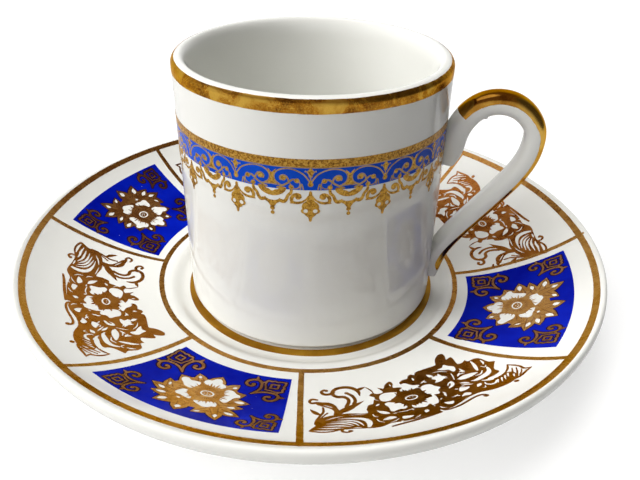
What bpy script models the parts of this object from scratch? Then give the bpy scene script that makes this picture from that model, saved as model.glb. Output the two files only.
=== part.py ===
"""Espresso cup and saucer: a straight porcelain can with an ear handle, standing in the saucer's well.

Run with blender --background --python part.py. Lengths are metres and +Z is up. The origin is on the
saucer's axis at the table, and the cup's handle points along +X.
"""

import math

import bmesh
import bpy

# Round pieces
SEGMENTS = 60
MERGE_DISTANCE = 0.00001

# Clearances
SEAT_GAP = 0.0003
LUTE_GAP = 0.0003
LINE_GAP = 0.0003
GLAZE_GAP = 0.00015
LAYER_THICKNESS = 0.0002

# Saucer
SAUCER_RADIUS = 0.0603
RIM_NOSE = 0.0013
PLATE_THICKNESS = 0.0027
SAUCER_FOOT_RADIUS = 0.0315
SAUCER_FOOT_WIDTH = 0.0032
SAUCER_FOOT_HEIGHT = 0.0018
SAUCER_FOOT_DRAFT = 0.0003
SAUCER_FOOT_FLARE = 0.0024
WELL_CLEARANCE = 0.0011
WELL_DEPTH = 0.00145
WELL_STEP_RUN = 0.0024
SHOULDER_WIDTH = 0.0026
SHOULDER_SLOPE = math.radians(6.0)
BOWL_RISE = 0.01055

# Cup
CUP_RADIUS = 0.0260
CUP_HEIGHT = 0.0506
CUP_TAPER = 0.0001
CUP_WALL = 0.0024
CUP_FLOOR = 0.0024
CUP_INNER_ROUND = 0.0070
CUP_LOWER_ROUND = 0.0024
CUP_FOOT_INSET = 0.0003
CUP_FOOT_WIDTH = 0.0022
CUP_FOOT_HEIGHT = 0.0008
CUP_FOOT_DRAFT = 0.0003

# Handle: places along its middle, out from the cup's wall, down from the lip or up from the cup's foot
SPUR_OUT = 0.0010
SPUR_DROP = 0.0203
ROOT_OUT = 0.0019
ROOT_DROP = 0.0134
BOW_OUT = 0.0093
BOW_DROP = 0.0143
BOW_RADIUS = 0.0070
BOW_START = math.radians(133.0)
BOW_END = math.radians(5.0)
ELBOW_OUT = 0.0141
ELBOW_DROP = 0.0213
KNEE_OUT = 0.0025
KNEE_RISE = 0.0130
HANDLE_FOOT_SINK = 0.0004
HANDLE_FOOT_RISE = 0.0049
HANDLE_THICKNESS = 0.0040
HANDLE_ROOT_THICKNESS = 0.0048
HANDLE_TAPER_END = 0.62
HANDLE_WIDTH = 0.0053
HANDLE_ROUND_POWER = 2.6
HANDLE_END_SCALE = 0.8
RINGS_PER_SPAN = 4
SECTION_POINTS = 16

# Gold on the handle: a stripe between two shares of the path, narrowing to its tip
STRIPE_START = 0.18
STRIPE_END = 0.96
STRIPE_HALF_ANGLE = math.radians(80.0)
STRIPE_TIP_ANGLE = math.radians(70.0)
STRIPE_POINTS = 6

# Bands on the cup, measured down from the lip
RIM_BAND_TOP = 0.0002
RIM_BAND_BOTTOM = 0.0025
FRIEZE_TOP = 0.0100
FRIEZE_GILT_WIDTH = 0.0015
FRIEZE_BLUE_WIDTH = 0.0037

# Lines and panels on the saucer
RIM_LINE_INSET = 0.0001
RIM_LINE_WIDTH = 0.0015
INNER_LINE_WIDTH = 0.0010
WELL_RING_WIDTH = 0.0020
SPOKE_WIDTH = 0.0011
FIELD_AZIMUTHS = (-12.4, -103.3, 164.8, 76.0)
SPOKE_HALF_ANGLE = math.radians(20.6)
PANEL_SIDE_MARGIN = math.radians(2.6)
PANEL_INNER_MARGIN = 0.0017
PANEL_OUTER_MARGIN = 0.0030
PANEL_STEPS = 6

# Saucer levels and the arc of its bowl, from the sizes above
WELL_FLOOR = SAUCER_FOOT_HEIGHT + PLATE_THICKNESS
WELL_RADIUS = CUP_RADIUS + WELL_CLEARANCE
SHOULDER_HEIGHT = WELL_FLOOR + WELL_DEPTH
SHOULDER_RADIUS = WELL_RADIUS + WELL_STEP_RUN + SHOULDER_WIDTH
EDGE_RADIUS = SAUCER_RADIUS - RIM_NOSE
EDGE_HEIGHT = SHOULDER_HEIGHT + BOWL_RISE
CHORD_SLOPE = math.atan2(BOWL_RISE, EDGE_RADIUS - SHOULDER_RADIUS)
EDGE_SLOPE = 2 * CHORD_SLOPE - SHOULDER_SLOPE
BOWL_RADIUS = (EDGE_RADIUS - SHOULDER_RADIUS) / (math.sin(EDGE_SLOPE) - math.sin(SHOULDER_SLOPE))
BOWL_CENTRE_RADIUS = SHOULDER_RADIUS - BOWL_RADIUS * math.sin(SHOULDER_SLOPE)
BOWL_CENTRE_HEIGHT = SHOULDER_HEIGHT + BOWL_RADIUS * math.cos(SHOULDER_SLOPE)

# Cup levels
CUP_BASE = WELL_FLOOR + SEAT_GAP
CUP_TOP = CUP_BASE + CUP_HEIGHT
LIP_RADIUS = CUP_WALL / 2
LIP_HEIGHT = CUP_TOP - LIP_RADIUS


def circle_arc(centre, radius, start, end, count):
    """Points on an arc in the (radius, height) plane, with angles from the radial direction."""
    points = []
    for index in range(count):
        angle = start + (end - start) * index / (count - 1)
        points.append((centre[0] + radius * math.cos(angle), centre[1] + radius * math.sin(angle)))
    return points


def bezier(start, start_handle, end_handle, end, count):
    """Points inside a cubic curve, without its two ends."""
    points = []
    for index in range(1, count + 1):
        t = index / (count + 1)
        weights = ((1 - t) ** 3, 3 * t * (1 - t) ** 2, 3 * t * t * (1 - t), t ** 3)
        corners = (start, start_handle, end_handle, end)
        radius = sum(weight * corner[0] for weight, corner in zip(weights, corners))
        height = sum(weight * corner[1] for weight, corner in zip(weights, corners))
        points.append((radius, height))
    return points


def spread(first, last, count):
    """Evenly spaced values from the first to the last."""
    return [first + (last - first) * index / (count - 1) for index in range(count)]


def bowl_face(radius, above=0.0):
    """A point of the bowl's upper face, lifted along the face's normal."""
    slope = math.asin((radius - BOWL_CENTRE_RADIUS) / BOWL_RADIUS)
    reach = BOWL_RADIUS - above
    return (BOWL_CENTRE_RADIUS + reach * math.sin(slope), BOWL_CENTRE_HEIGHT - reach * math.cos(slope))


def bowl_underside(radius):
    """A point of the plate's underside, and the slope there."""
    reach = BOWL_RADIUS + PLATE_THICKNESS
    slope = math.asin((radius - BOWL_CENTRE_RADIUS) / reach)
    return (radius, BOWL_CENTRE_HEIGHT - reach * math.cos(slope)), slope


def bowl_layer(inner, outer, count):
    """A closed outline of a thin layer on the bowl between two radii."""
    radii = spread(inner, outer, count)
    upper = [bowl_face(radius, GLAZE_GAP + LAYER_THICKNESS) for radius in radii]
    lower = [bowl_face(radius, GLAZE_GAP) for radius in reversed(radii)]
    return upper + lower


def well_step():
    """The rounded step from the well's floor up to the shoulder."""
    foot = (WELL_RADIUS, WELL_FLOOR)
    head = (WELL_RADIUS + WELL_STEP_RUN, SHOULDER_HEIGHT)
    middle = WELL_RADIUS + WELL_STEP_RUN / 2
    return [foot] + bezier(foot, (middle, WELL_FLOOR), (middle, SHOULDER_HEIGHT), head, 3) + [head]


def saucer_rim():
    """The rounded nose of the rim, from the bowl's upper face to the underside."""
    under, under_slope = bowl_underside(EDGE_RADIUS)
    reach = RIM_NOSE / (0.75 * math.cos(EDGE_SLOPE))
    upper_handle = (EDGE_RADIUS + reach * math.cos(EDGE_SLOPE), EDGE_HEIGHT + reach * math.sin(EDGE_SLOPE))
    under_handle = (under[0] + reach * math.cos(under_slope), under[1] + reach * math.sin(under_slope))
    return bezier((EDGE_RADIUS, EDGE_HEIGHT), upper_handle, under_handle, under, 5)


def saucer_profile():
    """Half outline from the well's middle, over the rim and back under the plate to the axis."""
    flare_radius = SAUCER_FOOT_RADIUS + SAUCER_FOOT_FLARE
    foot_inner = SAUCER_FOOT_RADIUS - SAUCER_FOOT_WIDTH
    points = [(0.0, WELL_FLOOR)]
    points += well_step()
    points += [bowl_face(radius) for radius in spread(SHOULDER_RADIUS, EDGE_RADIUS, 9)]
    points += saucer_rim()
    points += [bowl_underside(radius)[0] for radius in spread(EDGE_RADIUS, flare_radius, 7)]
    points += [
        (SAUCER_FOOT_RADIUS, SAUCER_FOOT_HEIGHT),
        (SAUCER_FOOT_RADIUS - SAUCER_FOOT_DRAFT, 0.0),
        (foot_inner, 0.0),
        (foot_inner - SAUCER_FOOT_DRAFT, SAUCER_FOOT_HEIGHT),
        (0.0, SAUCER_FOOT_HEIGHT),
    ]
    return points


def wall_radius(height, out=0.0):
    """Radius of the cup's outer wall at a height above the table."""
    return CUP_RADIUS + out - CUP_TAPER * (CUP_TOP - height) / CUP_HEIGHT


def cup_profile():
    """Half outline from the inside of the floor, over the lip and down to the foot."""
    recess = CUP_BASE + CUP_FOOT_HEIGHT
    floor = recess + CUP_FLOOR
    inner = wall_radius(floor) - CUP_WALL
    round_centre = (inner - CUP_INNER_ROUND, floor + CUP_INNER_ROUND)
    lip_centre = (wall_radius(LIP_HEIGHT) - LIP_RADIUS, LIP_HEIGHT)
    turn_height = recess + CUP_LOWER_ROUND
    turn_centre = (wall_radius(turn_height) - CUP_LOWER_ROUND, turn_height)
    foot_outer = turn_centre[0] - CUP_FOOT_INSET
    foot_inner = foot_outer - CUP_FOOT_WIDTH
    points = [(0.0, floor)]
    points += circle_arc(round_centre, CUP_INNER_ROUND, -math.pi / 2, 0.0, 6)
    points += circle_arc(lip_centre, LIP_RADIUS, math.pi, 0.0, 7)
    points += circle_arc(turn_centre, CUP_LOWER_ROUND, 0.0, -math.pi / 2, 5)
    points += [
        (foot_outer, recess),
        (foot_outer - CUP_FOOT_DRAFT, CUP_BASE),
        (foot_inner, CUP_BASE),
        (foot_inner - CUP_FOOT_DRAFT, recess),
        (0.0, recess),
    ]
    return points


def wall_layer(upper, lower):
    """A closed outline of a thin layer on the cup's outer wall between two heights."""
    out = GLAZE_GAP + LAYER_THICKNESS
    return [
        (wall_radius(upper, GLAZE_GAP), upper),
        (wall_radius(upper, out), upper),
        (wall_radius(lower, out), lower),
        (wall_radius(lower, GLAZE_GAP), lower),
    ]


def lip_layer(upper, lower):
    """A closed outline of a thin layer that wraps the outside of the lip and runs down the wall."""
    centre = (wall_radius(LIP_HEIGHT) - LIP_RADIUS, LIP_HEIGHT)
    start = math.asin((upper - LIP_HEIGHT) / LIP_RADIUS)
    near = LIP_RADIUS + GLAZE_GAP
    far = near + LAYER_THICKNESS
    points = circle_arc(centre, far, start, 0.0, 4)
    points.append((wall_radius(lower, GLAZE_GAP + LAYER_THICKNESS), lower))
    points.append((wall_radius(lower, GLAZE_GAP), lower))
    points += circle_arc(centre, near, 0.0, start, 4)
    return points


def handle_corners():
    """Points (x, z) that the middle of the handle passes through, from the spur to the foot."""
    points = [
        (CUP_RADIUS + SPUR_OUT, CUP_TOP - SPUR_DROP),
        (CUP_RADIUS + ROOT_OUT, CUP_TOP - ROOT_DROP),
    ]
    bow_centre = (CUP_RADIUS + BOW_OUT, CUP_TOP - BOW_DROP)
    points += circle_arc(bow_centre, BOW_RADIUS, BOW_START, BOW_END, 5)
    points += [
        (CUP_RADIUS + ELBOW_OUT, CUP_TOP - ELBOW_DROP),
        (CUP_RADIUS + KNEE_OUT, CUP_BASE + KNEE_RISE),
        (CUP_RADIUS - HANDLE_FOOT_SINK, CUP_BASE + HANDLE_FOOT_RISE),
    ]
    return points


def catmull_rom(before, first, second, after, t):
    """A point of a smooth span between the two middle points, and its unit tangent."""
    point = []
    slope = []
    for a, b, c, d in zip(before, first, second, after):
        square = 2 * a - 5 * b + 4 * c - d
        cube = 3 * b - a - 3 * c + d
        point.append(0.5 * (2 * b + (c - a) * t + square * t ** 2 + cube * t ** 3))
        slope.append(0.5 * ((c - a) + 2 * square * t + 3 * cube * t ** 2))
    length = math.hypot(*slope)
    return point, (slope[0] / length, slope[1] / length)


def handle_path():
    """Points, tangents and thicknesses along the middle of the handle."""
    corners = handle_corners()
    padded = [corners[0]] + corners + [corners[-1]]
    curve = []
    for span in range(len(corners) - 1):
        for step in range(RINGS_PER_SPAN):
            curve.append(catmull_rom(*padded[span:span + 4], step / RINGS_PER_SPAN))
    curve.append(catmull_rom(*padded[-4:], 1.0))
    samples = []
    for index, (point, tangent) in enumerate(curve):
        taper = min(1.0, index / (len(curve) - 1) / HANDLE_TAPER_END)
        thickness = HANDLE_ROOT_THICKNESS + (HANDLE_THICKNESS - HANDLE_ROOT_THICKNESS) * taper
        samples.append((point, tangent, thickness))
    return samples


def handle_point(sample, angle, grow=0.0, scale=1.0):
    """A point on the handle's rounded section, at an angle round it from the outer side."""
    (x, z), (tangent_x, tangent_z), thickness = sample
    power = 2 / HANDLE_ROUND_POWER
    cosine = math.cos(angle)
    sine = math.sin(angle)
    outward = math.copysign(abs(cosine) ** power, cosine) * (scale * thickness / 2 + grow)
    sideways = math.copysign(abs(sine) ** power, sine) * (scale * HANDLE_WIDTH / 2 + grow)
    return (x - tangent_z * outward, sideways, z + tangent_x * outward)


def new_collection(name):
    collection = bpy.data.collections.new(name)
    bpy.context.scene.collection.children.link(collection)
    return collection


def new_material(name, colour, roughness, metallic):
    material = bpy.data.materials.new(name)
    material.use_nodes = True
    shader = material.node_tree.nodes["Principled BSDF"]
    shader.inputs["Base Color"].default_value = (*colour, 1.0)
    shader.inputs["Roughness"].default_value = roughness
    shader.inputs["Metallic"].default_value = metallic
    return material


def new_object(name, data, parent, material, collection):
    obj = bpy.data.objects.new(name, data)
    if material:
        data.materials.append(material)
    obj.parent = parent
    collection.objects.link(obj)
    return obj


def new_empty(name, height, collection):
    empty = bpy.data.objects.new(name, None)
    empty.location = (0.0, 0.0, height)
    collection.objects.link(empty)
    return empty


def mesh_from(build, name):
    """A finished mesh from an edited one, with its faces pointing out and round stretches smooth."""
    bmesh.ops.recalc_face_normals(build, faces=build.faces)
    mesh = bpy.data.meshes.new(name)
    build.to_mesh(mesh)
    build.free()
    mesh.shade_smooth()
    mesh.set_sharp_from_angle(angle=math.radians(40))
    return mesh


def turned(name, profile, closed, parent, material, collection):
    """A turned piece: a half outline in the XZ plane with a Screw modifier round Z."""
    drop = parent.location.z
    points = [(radius, 0.0, height - drop) for radius, height in profile]
    edges = [(index, index + 1) for index in range(len(points) - 1)]
    if closed:
        edges.append((len(points) - 1, 0))
    mesh = bpy.data.meshes.new(name)
    mesh.from_pydata(points, edges, [])
    obj = new_object(name, mesh, parent, material, collection)
    screw = obj.modifiers.new("turn", "SCREW")
    screw.axis = "Z"
    screw.steps = SEGMENTS
    screw.render_steps = SEGMENTS
    screw.use_merge_vertices = True
    screw.merge_threshold = MERGE_DISTANCE
    screw.use_smooth_shade = True
    return obj


def sector(name, outline, half_angle, steps, parent, material, collection):
    """A closed outline swept round Z, as far to each side of the object's own X axis."""
    drop = parent.location.z
    build = bmesh.new()
    corners = []
    for radius, height in outline:
        x = radius * math.cos(half_angle)
        y = -radius * math.sin(half_angle)
        corners.append(build.verts.new((x, y, height - drop)))
    face = build.faces.new(corners)
    bmesh.ops.spin(
        build, geom=[face], cent=(0, 0, 0), axis=(0, 0, 1), angle=2 * half_angle, steps=steps,
        use_duplicate=False,
    )
    return new_object(name, mesh_from(build, name), parent, material, collection)


def lofted(name, rings, parent, material, collection):
    """A closed loft through rings of points, with a flat cap on each end."""
    drop = parent.location.z
    build = bmesh.new()
    loops = [[build.verts.new((x, y, z - drop)) for x, y, z in ring] for ring in rings]
    for near, far in zip(loops, loops[1:]):
        for index in range(len(near)):
            following = (index + 1) % len(near)
            build.faces.new((near[index], near[following], far[following], far[index]))
    build.faces.new(loops[0][::-1])
    build.faces.new(loops[-1])
    return new_object(name, mesh_from(build, name), parent, material, collection)


def straight_bar(name, outline, width, parent, material, collection):
    """A closed outline in the object's XZ plane, made into a bar of even width across it."""
    curve = bpy.data.curves.new(name, "CURVE")
    curve.dimensions = "2D"
    curve.fill_mode = "BOTH"
    curve.extrude = width / 2
    spline = curve.splines.new("POLY")
    spline.points.add(len(outline) - 1)
    for point, (radius, height) in zip(spline.points, outline):
        point.co = (radius, height, 0.0, 1.0)
    spline.use_cyclic_u = True
    bar = new_object(name, curve, parent, material, collection)
    bar.rotation_euler.x = math.pi / 2
    return bar


def make_saucer(origin, porcelain, gold, parts):
    turned("saucer", saucer_profile(), False, origin, porcelain, parts)
    rim_outer = EDGE_RADIUS - RIM_LINE_INSET
    rim_line = bowl_layer(rim_outer - RIM_LINE_WIDTH, rim_outer, 3)
    inner_line = bowl_layer(SHOULDER_RADIUS, SHOULDER_RADIUS + INNER_LINE_WIDTH, 2)
    turned("saucer_rim_line", rim_line, True, origin, gold, parts)
    turned("saucer_inner_line", inner_line, True, origin, gold, parts)
    low = WELL_FLOOR + GLAZE_GAP
    high = low + LAYER_THICKNESS
    ring_inner = WELL_RADIUS - WELL_RING_WIDTH
    well_ring = [(ring_inner, high), (WELL_RADIUS, high), (WELL_RADIUS, low), (ring_inner, low)]
    turned("saucer_well_ring", well_ring, True, origin, gold, parts)


def make_fields(origin, gold, cobalt, parts):
    """Four cobalt panels on the bowl, each between two gold spokes."""
    inner = SHOULDER_RADIUS + INNER_LINE_WIDTH
    outer = EDGE_RADIUS - RIM_LINE_INSET - RIM_LINE_WIDTH
    spoke = bowl_layer(inner + LINE_GAP, outer - LINE_GAP, 6)
    panel = bowl_layer(inner + PANEL_INNER_MARGIN, outer - PANEL_OUTER_MARGIN, 6)
    panel_half_angle = SPOKE_HALF_ANGLE - PANEL_SIDE_MARGIN
    for field, degrees in enumerate(FIELD_AZIMUTHS):
        azimuth = math.radians(degrees)
        name = f"blue_panel_{field + 1}"
        piece = sector(name, panel, panel_half_angle, PANEL_STEPS, origin, cobalt, parts)
        piece.rotation_euler.z = azimuth
        for side, turn in enumerate((SPOKE_HALF_ANGLE, -SPOKE_HALF_ANGLE)):
            name = f"saucer_spoke_{2 * field + side + 1}"
            bar = straight_bar(name, spoke, SPOKE_WIDTH, origin, gold, parts)
            bar.rotation_euler.z = azimuth + turn


def make_cup(origin, porcelain, gold, parts):
    turned("cup_body", cup_profile(), False, origin, porcelain, parts)
    rim_band = lip_layer(CUP_TOP - RIM_BAND_TOP, CUP_TOP - RIM_BAND_BOTTOM)
    turned("cup_rim_gilding", rim_band, True, origin, gold, parts)


def make_frieze(origin, gold, cobalt, parts):
    """A gold band over a cobalt one, both stopping at the handle's root."""
    gilt_top = CUP_TOP - FRIEZE_TOP
    gilt_bottom = gilt_top - FRIEZE_GILT_WIDTH
    blue_top = gilt_bottom - LINE_GAP
    blue_bottom = blue_top - FRIEZE_BLUE_WIDTH
    half_root = math.asin((HANDLE_WIDTH / 2 + LINE_GAP) / CUP_RADIUS)
    layers = (
        ("frieze_gilt_band", wall_layer(gilt_top, gilt_bottom), gold),
        ("frieze_blue_band", wall_layer(blue_top, blue_bottom), cobalt),
    )
    for name, outline, material in layers:
        band = sector(name, outline, math.pi - half_root, SEGMENTS, origin, material, parts)
        band.rotation_euler.z = math.pi


def make_handle(origin, porcelain, parts, cutters):
    """A rounded bar lofted along the path, cut back where it meets the cup's wall."""
    path = handle_path()
    rings = []
    for index, sample in enumerate(path):
        scale = HANDLE_END_SCALE if index in (0, len(path) - 1) else 1.0
        angles = [2 * math.pi * corner / SECTION_POINTS for corner in range(SECTION_POINTS)]
        rings.append([handle_point(sample, angle, 0.0, scale) for angle in angles])
    handle = lofted("cup_handle", rings, origin, porcelain, parts)
    wall = [
        (0.0, CUP_TOP),
        (wall_radius(CUP_TOP, LUTE_GAP), CUP_TOP),
        (wall_radius(CUP_BASE, LUTE_GAP), CUP_BASE),
        (0.0, CUP_BASE),
    ]
    cutter = turned("cup_wall_cutter", wall, False, origin, None, cutters)
    cutter.hide_render = True
    cutter.display_type = "WIRE"
    cut = handle.modifiers.new("meet the wall", "BOOLEAN")
    cut.operation = "DIFFERENCE"
    cut.object = cutter


def make_handle_gilding(origin, gold, parts):
    """A thin gold layer over the handle's outer face."""
    path = handle_path()
    first = round(STRIPE_START * (len(path) - 1))
    last = round(STRIPE_END * (len(path) - 1))
    half_angles = spread(STRIPE_HALF_ANGLE, STRIPE_TIP_ANGLE, last - first + 1)
    rings = []
    for sample, half_angle in zip(path[first:last + 1], half_angles):
        angles = spread(-half_angle, half_angle, STRIPE_POINTS)
        upper = [handle_point(sample, angle, GLAZE_GAP + LAYER_THICKNESS) for angle in angles]
        lower = [handle_point(sample, angle, GLAZE_GAP) for angle in reversed(angles)]
        rings.append(upper + lower)
    lofted("handle_gilding", rings, origin, gold, parts)


def main():
    for obj in list(bpy.data.objects):
        bpy.data.objects.remove(obj, do_unlink=True)
    parts = new_collection("espresso_cup")
    cutters = new_collection("cutters")
    porcelain = new_material("porcelain", (0.86, 0.86, 0.84), 0.12, 0.0)
    gold = new_material("gold", (0.62, 0.38, 0.07), 0.25, 1.0)
    cobalt = new_material("cobalt", (0.005, 0.02, 0.50), 0.15, 0.0)
    saucer_origin = new_empty("saucer_origin", 0.0, parts)
    cup_origin = new_empty("cup_origin", CUP_BASE, parts)
    make_saucer(saucer_origin, porcelain, gold, parts)
    make_fields(saucer_origin, gold, cobalt, parts)
    make_cup(cup_origin, porcelain, gold, parts)
    make_frieze(cup_origin, gold, cobalt, parts)
    make_handle(cup_origin, porcelain, parts, cutters)
    make_handle_gilding(cup_origin, gold, parts)


main()
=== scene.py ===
import math
import random

import bmesh
import bpy
import numpy as np
from mathutils import Matrix, Vector, geometry


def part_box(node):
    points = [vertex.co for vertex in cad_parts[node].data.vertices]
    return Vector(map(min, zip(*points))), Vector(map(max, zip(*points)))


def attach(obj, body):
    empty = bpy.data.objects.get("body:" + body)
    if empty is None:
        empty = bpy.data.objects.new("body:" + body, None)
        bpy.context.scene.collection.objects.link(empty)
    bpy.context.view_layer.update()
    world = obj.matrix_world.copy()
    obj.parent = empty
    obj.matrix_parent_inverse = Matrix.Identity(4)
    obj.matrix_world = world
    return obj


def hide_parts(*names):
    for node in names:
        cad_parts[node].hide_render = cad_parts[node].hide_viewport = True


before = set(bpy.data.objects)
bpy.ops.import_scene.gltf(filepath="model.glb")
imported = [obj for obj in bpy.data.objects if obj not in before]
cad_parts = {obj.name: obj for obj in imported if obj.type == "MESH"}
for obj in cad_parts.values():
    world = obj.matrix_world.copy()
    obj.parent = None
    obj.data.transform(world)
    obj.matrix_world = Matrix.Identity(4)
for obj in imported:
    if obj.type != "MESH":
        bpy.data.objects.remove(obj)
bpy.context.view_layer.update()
cup_pieces = bpy.data.collections.new("cup_pieces")

# All sizes are in millimetres, with heights from the table and the handle along +X
MM = 0.001


def box_reach(node_name, corner, axis):
    """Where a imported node's low (0) or high (1) corner lies along an axis, to a tenth."""
    return round(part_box(node_name)[corner][axis] / MM, 1)


# Layers of gold and enamel on the glaze
LIFT = 0.04
SINK = 0.05
SHARP_ANGLE = math.radians(38)

# Saucer
SAUCER_RADIUS = box_reach("saucer", 1, 0)
SAUCER_SEGMENTS = 288
RIM_NOSE = 1.3
PLATE = 2.7
FOOT_RADIUS = 31.5
FOOT_WIDTH = 3.2
FOOT_HEIGHT = 1.8
FOOT_FLARE = 2.4
FOOT_ROUND = 0.4
FOOT_ROUND_INSET = 0.7
FOOT_OUTER_CURVE = ((0.9, 0.35), (0.0, 0.2), (-0.05, -0.4))
FOOT_INNER_CURVE = ((-0.2, -0.6), (-0.25, -0.15), (-0.5, 0.0), (-1.2, 0.0))
WELL_RADIUS = 27.1
WELL_FLOOR = 4.5
WELL_STEP = 4.4
SHOULDER_RADIUS = 32.1
SHOULDER_HEIGHT = 5.95
SHOULDER_SLOPE = math.radians(6.0)
EDGE_RADIUS = SAUCER_RADIUS - RIM_NOSE
EDGE_HEIGHT = 16.5
EDGE_RUN = EDGE_RADIUS - SHOULDER_RADIUS
EDGE_SLOPE = 2 * math.atan2(EDGE_HEIGHT - SHOULDER_HEIGHT, EDGE_RUN) - SHOULDER_SLOPE
BOWL_RADIUS = EDGE_RUN / (math.sin(EDGE_SLOPE) - math.sin(SHOULDER_SLOPE))
BOWL_CENTRE = SHOULDER_RADIUS - BOWL_RADIUS * math.sin(SHOULDER_SLOPE)
BOWL_HEIGHT = SHOULDER_HEIGHT + BOWL_RADIUS * math.cos(SHOULDER_SLOPE)

# Cup
CUP_RADIUS = box_reach("cup_body", 1, 0)
CUP_SEGMENTS = 240
CUP_TAPER = 0.1
CUP_BASE = box_reach("cup_body", 0, 2)
CUP_TOP = box_reach("cup_body", 1, 2)
CUP_HEIGHT = CUP_TOP - CUP_BASE
CUP_WALL = 3.2
CREST = 24.4
CREST_OVER = 0.08
LIP_RISE = 1.28
LIP_INNER_RISE = 4.0
LIP_HEIGHT = CUP_TOP + CREST_OVER - LIP_RISE
CUP_RECESS = 5.6
CUP_FLOOR = 8.0
INNER_ROUND = 7.0
LOWER_ROUND = 0.9
CUP_FOOT_INSET = 0.3
CUP_FOOT_WIDTH = 2.2
CUP_FOOT_ROUND = 0.3
CUP_ROUND_INSET = 0.55
CUP_FOOT_OUTER = ((0.05, -0.05), (-0.05, -0.25))
CUP_FOOT_INNER = ((-0.15, -0.15), (-0.6, 0.0))

# Handle: the points that its middle passes through, and its rounded section
BOW_CENTRE = (35.3, 41.1)
BOW_RADIUS = 7.0
BOW_TURNS = (133, 5, 5)
HANDLE_ROOT = [(27.0, 35.1), (27.9, 42.0)]
HANDLE_FOOT = [(40.1, 34.1), (28.5, 17.8), (25.6, 9.7)]
HANDLE_STEPS = 10
HANDLE_SIDES = 40
HANDLE_THICKNESS = 4.0
HANDLE_ROOT_THICKNESS = 4.8
HANDLE_TAPER_END = 0.62
HANDLE_WIDTH = 5.3
HANDLE_POWER = 2 / 2.6
HANDLE_EASE = 1.1
SPUR_LENGTH = 0.065
SPUR_THINNING = 0.45
SPUR_ROUND = 0.5
SPUR_RINGS = 6
SPUR_SHRINK = 0.24
THUMB_PLACE = 0.262
THUMB_SPREAD = 0.011
THUMB_SWELL = 0.7

# Stripe on the handle: where it starts and ends along it, its half width in degrees round the section,
# and the place and length of the runs over which it slims, widens again and is drawn in
STRIPE_ENDS = (0.178, 0.99)
STRIPE_HALF = 83
STRIPE_SLIMMING = 12
STRIPE_SLIM_RUN = (0.5, 0.12)
STRIPE_WIDE_RUN = (0.8, 0.15)
STRIPE_END_RUN = (0.94, 0.06)
STRIPE_DRAWN_IN = 0.96
STRIPE_COLUMNS = 14
STRIPE_WANDER = 0.02

# Gold lines and bands
RIM_BAND = (53.05, 55.2)
RIM_WANDER = 0.05
RIM_COLUMNS = 10
LINE_WIDTH = 1.05
LINE_WANDER = 0.03
LINE_COLUMNS = 3
LINE_STEPS = 540
RING_STEPS = 360
WELL_RING = (24.95, 26.8)
PANEL = (34.8, 54.2)
PANEL_TURN = math.radians(17.8)

# The two lines round the saucer as the hand laid them: degrees, then the middle's radius or the width
RIM_LINE = (
    (-180, 58.45), (-150, 58.3), (-130, 58.45), (-115, 58.0), (-100, 57.4), (-85, 57.2), (-72, 57.6),
    (-60, 58.3), (-48, 58.75), (-35, 58.7), (-10, 58.4), (20, 58.2), (60, 58.4), (100, 58.6), (140, 58.9),
    (160, 58.75), (180, 58.45),
)
RIM_WIDTH = (
    (-180, 1.05), (-150, 1.1), (-120, 1.4), (-95, 1.65), (-70, 1.65), (-40, 1.4), (-10, 1.1), (180, 1.05),
)
INNER_LINE = (
    (-180, 33.05), (-150, 32.55), (-120, 32.4), (-50, 32.4), (0, 31.85), (50, 31.9), (120, 32.8),
    (180, 33.05),
)
INNER_WIDTH = ((-180, LINE_WIDTH), (180, LINE_WIDTH))

# Spokes: degrees at the inner and the outer end, and how far they run past the rim line
SPOKES = (
    (8.2, 9.5, 0.9), (-34.4, -32.7, 0.2), (-83.1, -81.8, 0.9), (-125.2, -124.2, 0.2),
    (184.5, 184.0, 0.2), (145.3, 144.7, 0.2), (96.6, 96.4, 0.2), (55.6, 55.3, 0.2),
)
SPOKE_STEPS = 60
SPOKE_SWAY = 0.12
SPOKE_SAG = 0.22
SPOKE_FADE = 0.6

# Corners of the cobalt fields, each laid a little differently: degrees and radius of the
# inner edge's two ends, then of the outer edge's
PANEL_CORNERS = (
    ((-30.6, 35.1), (5.6, 34.4), (-28.8, 55.0), (6.9, 54.6)),
    ((-122.0, 35.4), (-85.7, 35.1), (-121.8, 54.5), (-85.5, 53.1)),
    ((147.6, 35.6), (182.0, 35.2), (148.0, 55.4), (181.0, 54.8)),
    ((58.2, 34.8), (93.8, 34.8), (58.2, 54.2), (93.8, 54.2)),
)
PANEL_GRID = (1.1, ((-17.0, -12.0), (17.0, 10.0)))
FIELD_RADIUS = 45.0
ROSETTE_MIDDLE = np.array((-0.25, -0.55))
ROSETTE_LEAF = 0.75
CORNER_PLACES = (
    ((9.5, -8.1), 35.0, 0.98), ((-8.9, -8.2), -34.0, 0.98),
    ((12.75, 5.2), 122.0, 0.86), ((-13.3, 4.9), -124.0, 0.86),
)

# Sprays: degrees and radius of each flower's middle
SPRAY_PLACES = ((-149.8, 44.05), (-58.1, 45.2), (31.0, 44.8), (120.4, 44.6))
SPRAY_GRID = (1.2, ((-20.0, -9.5), (20.0, 8.0)))

# Frieze
FRIEZE_UNITS = 13
FRIEZE_FIRST = math.radians(-80.9) * CUP_RADIUS
HALF_UNIT = math.pi * CUP_RADIUS / FRIEZE_UNITS
FRIEZE_PITCH = 2 * HALF_UNIT
FRIEZE_BOTTOM = 33.4
FRIEZE_TOP = 46.0
GILT_TOP = 45.42
GILT_BOTTOM = 43.94
BLUE_BOTTOM = 39.88
ROOT_HALF = 3.1

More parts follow.
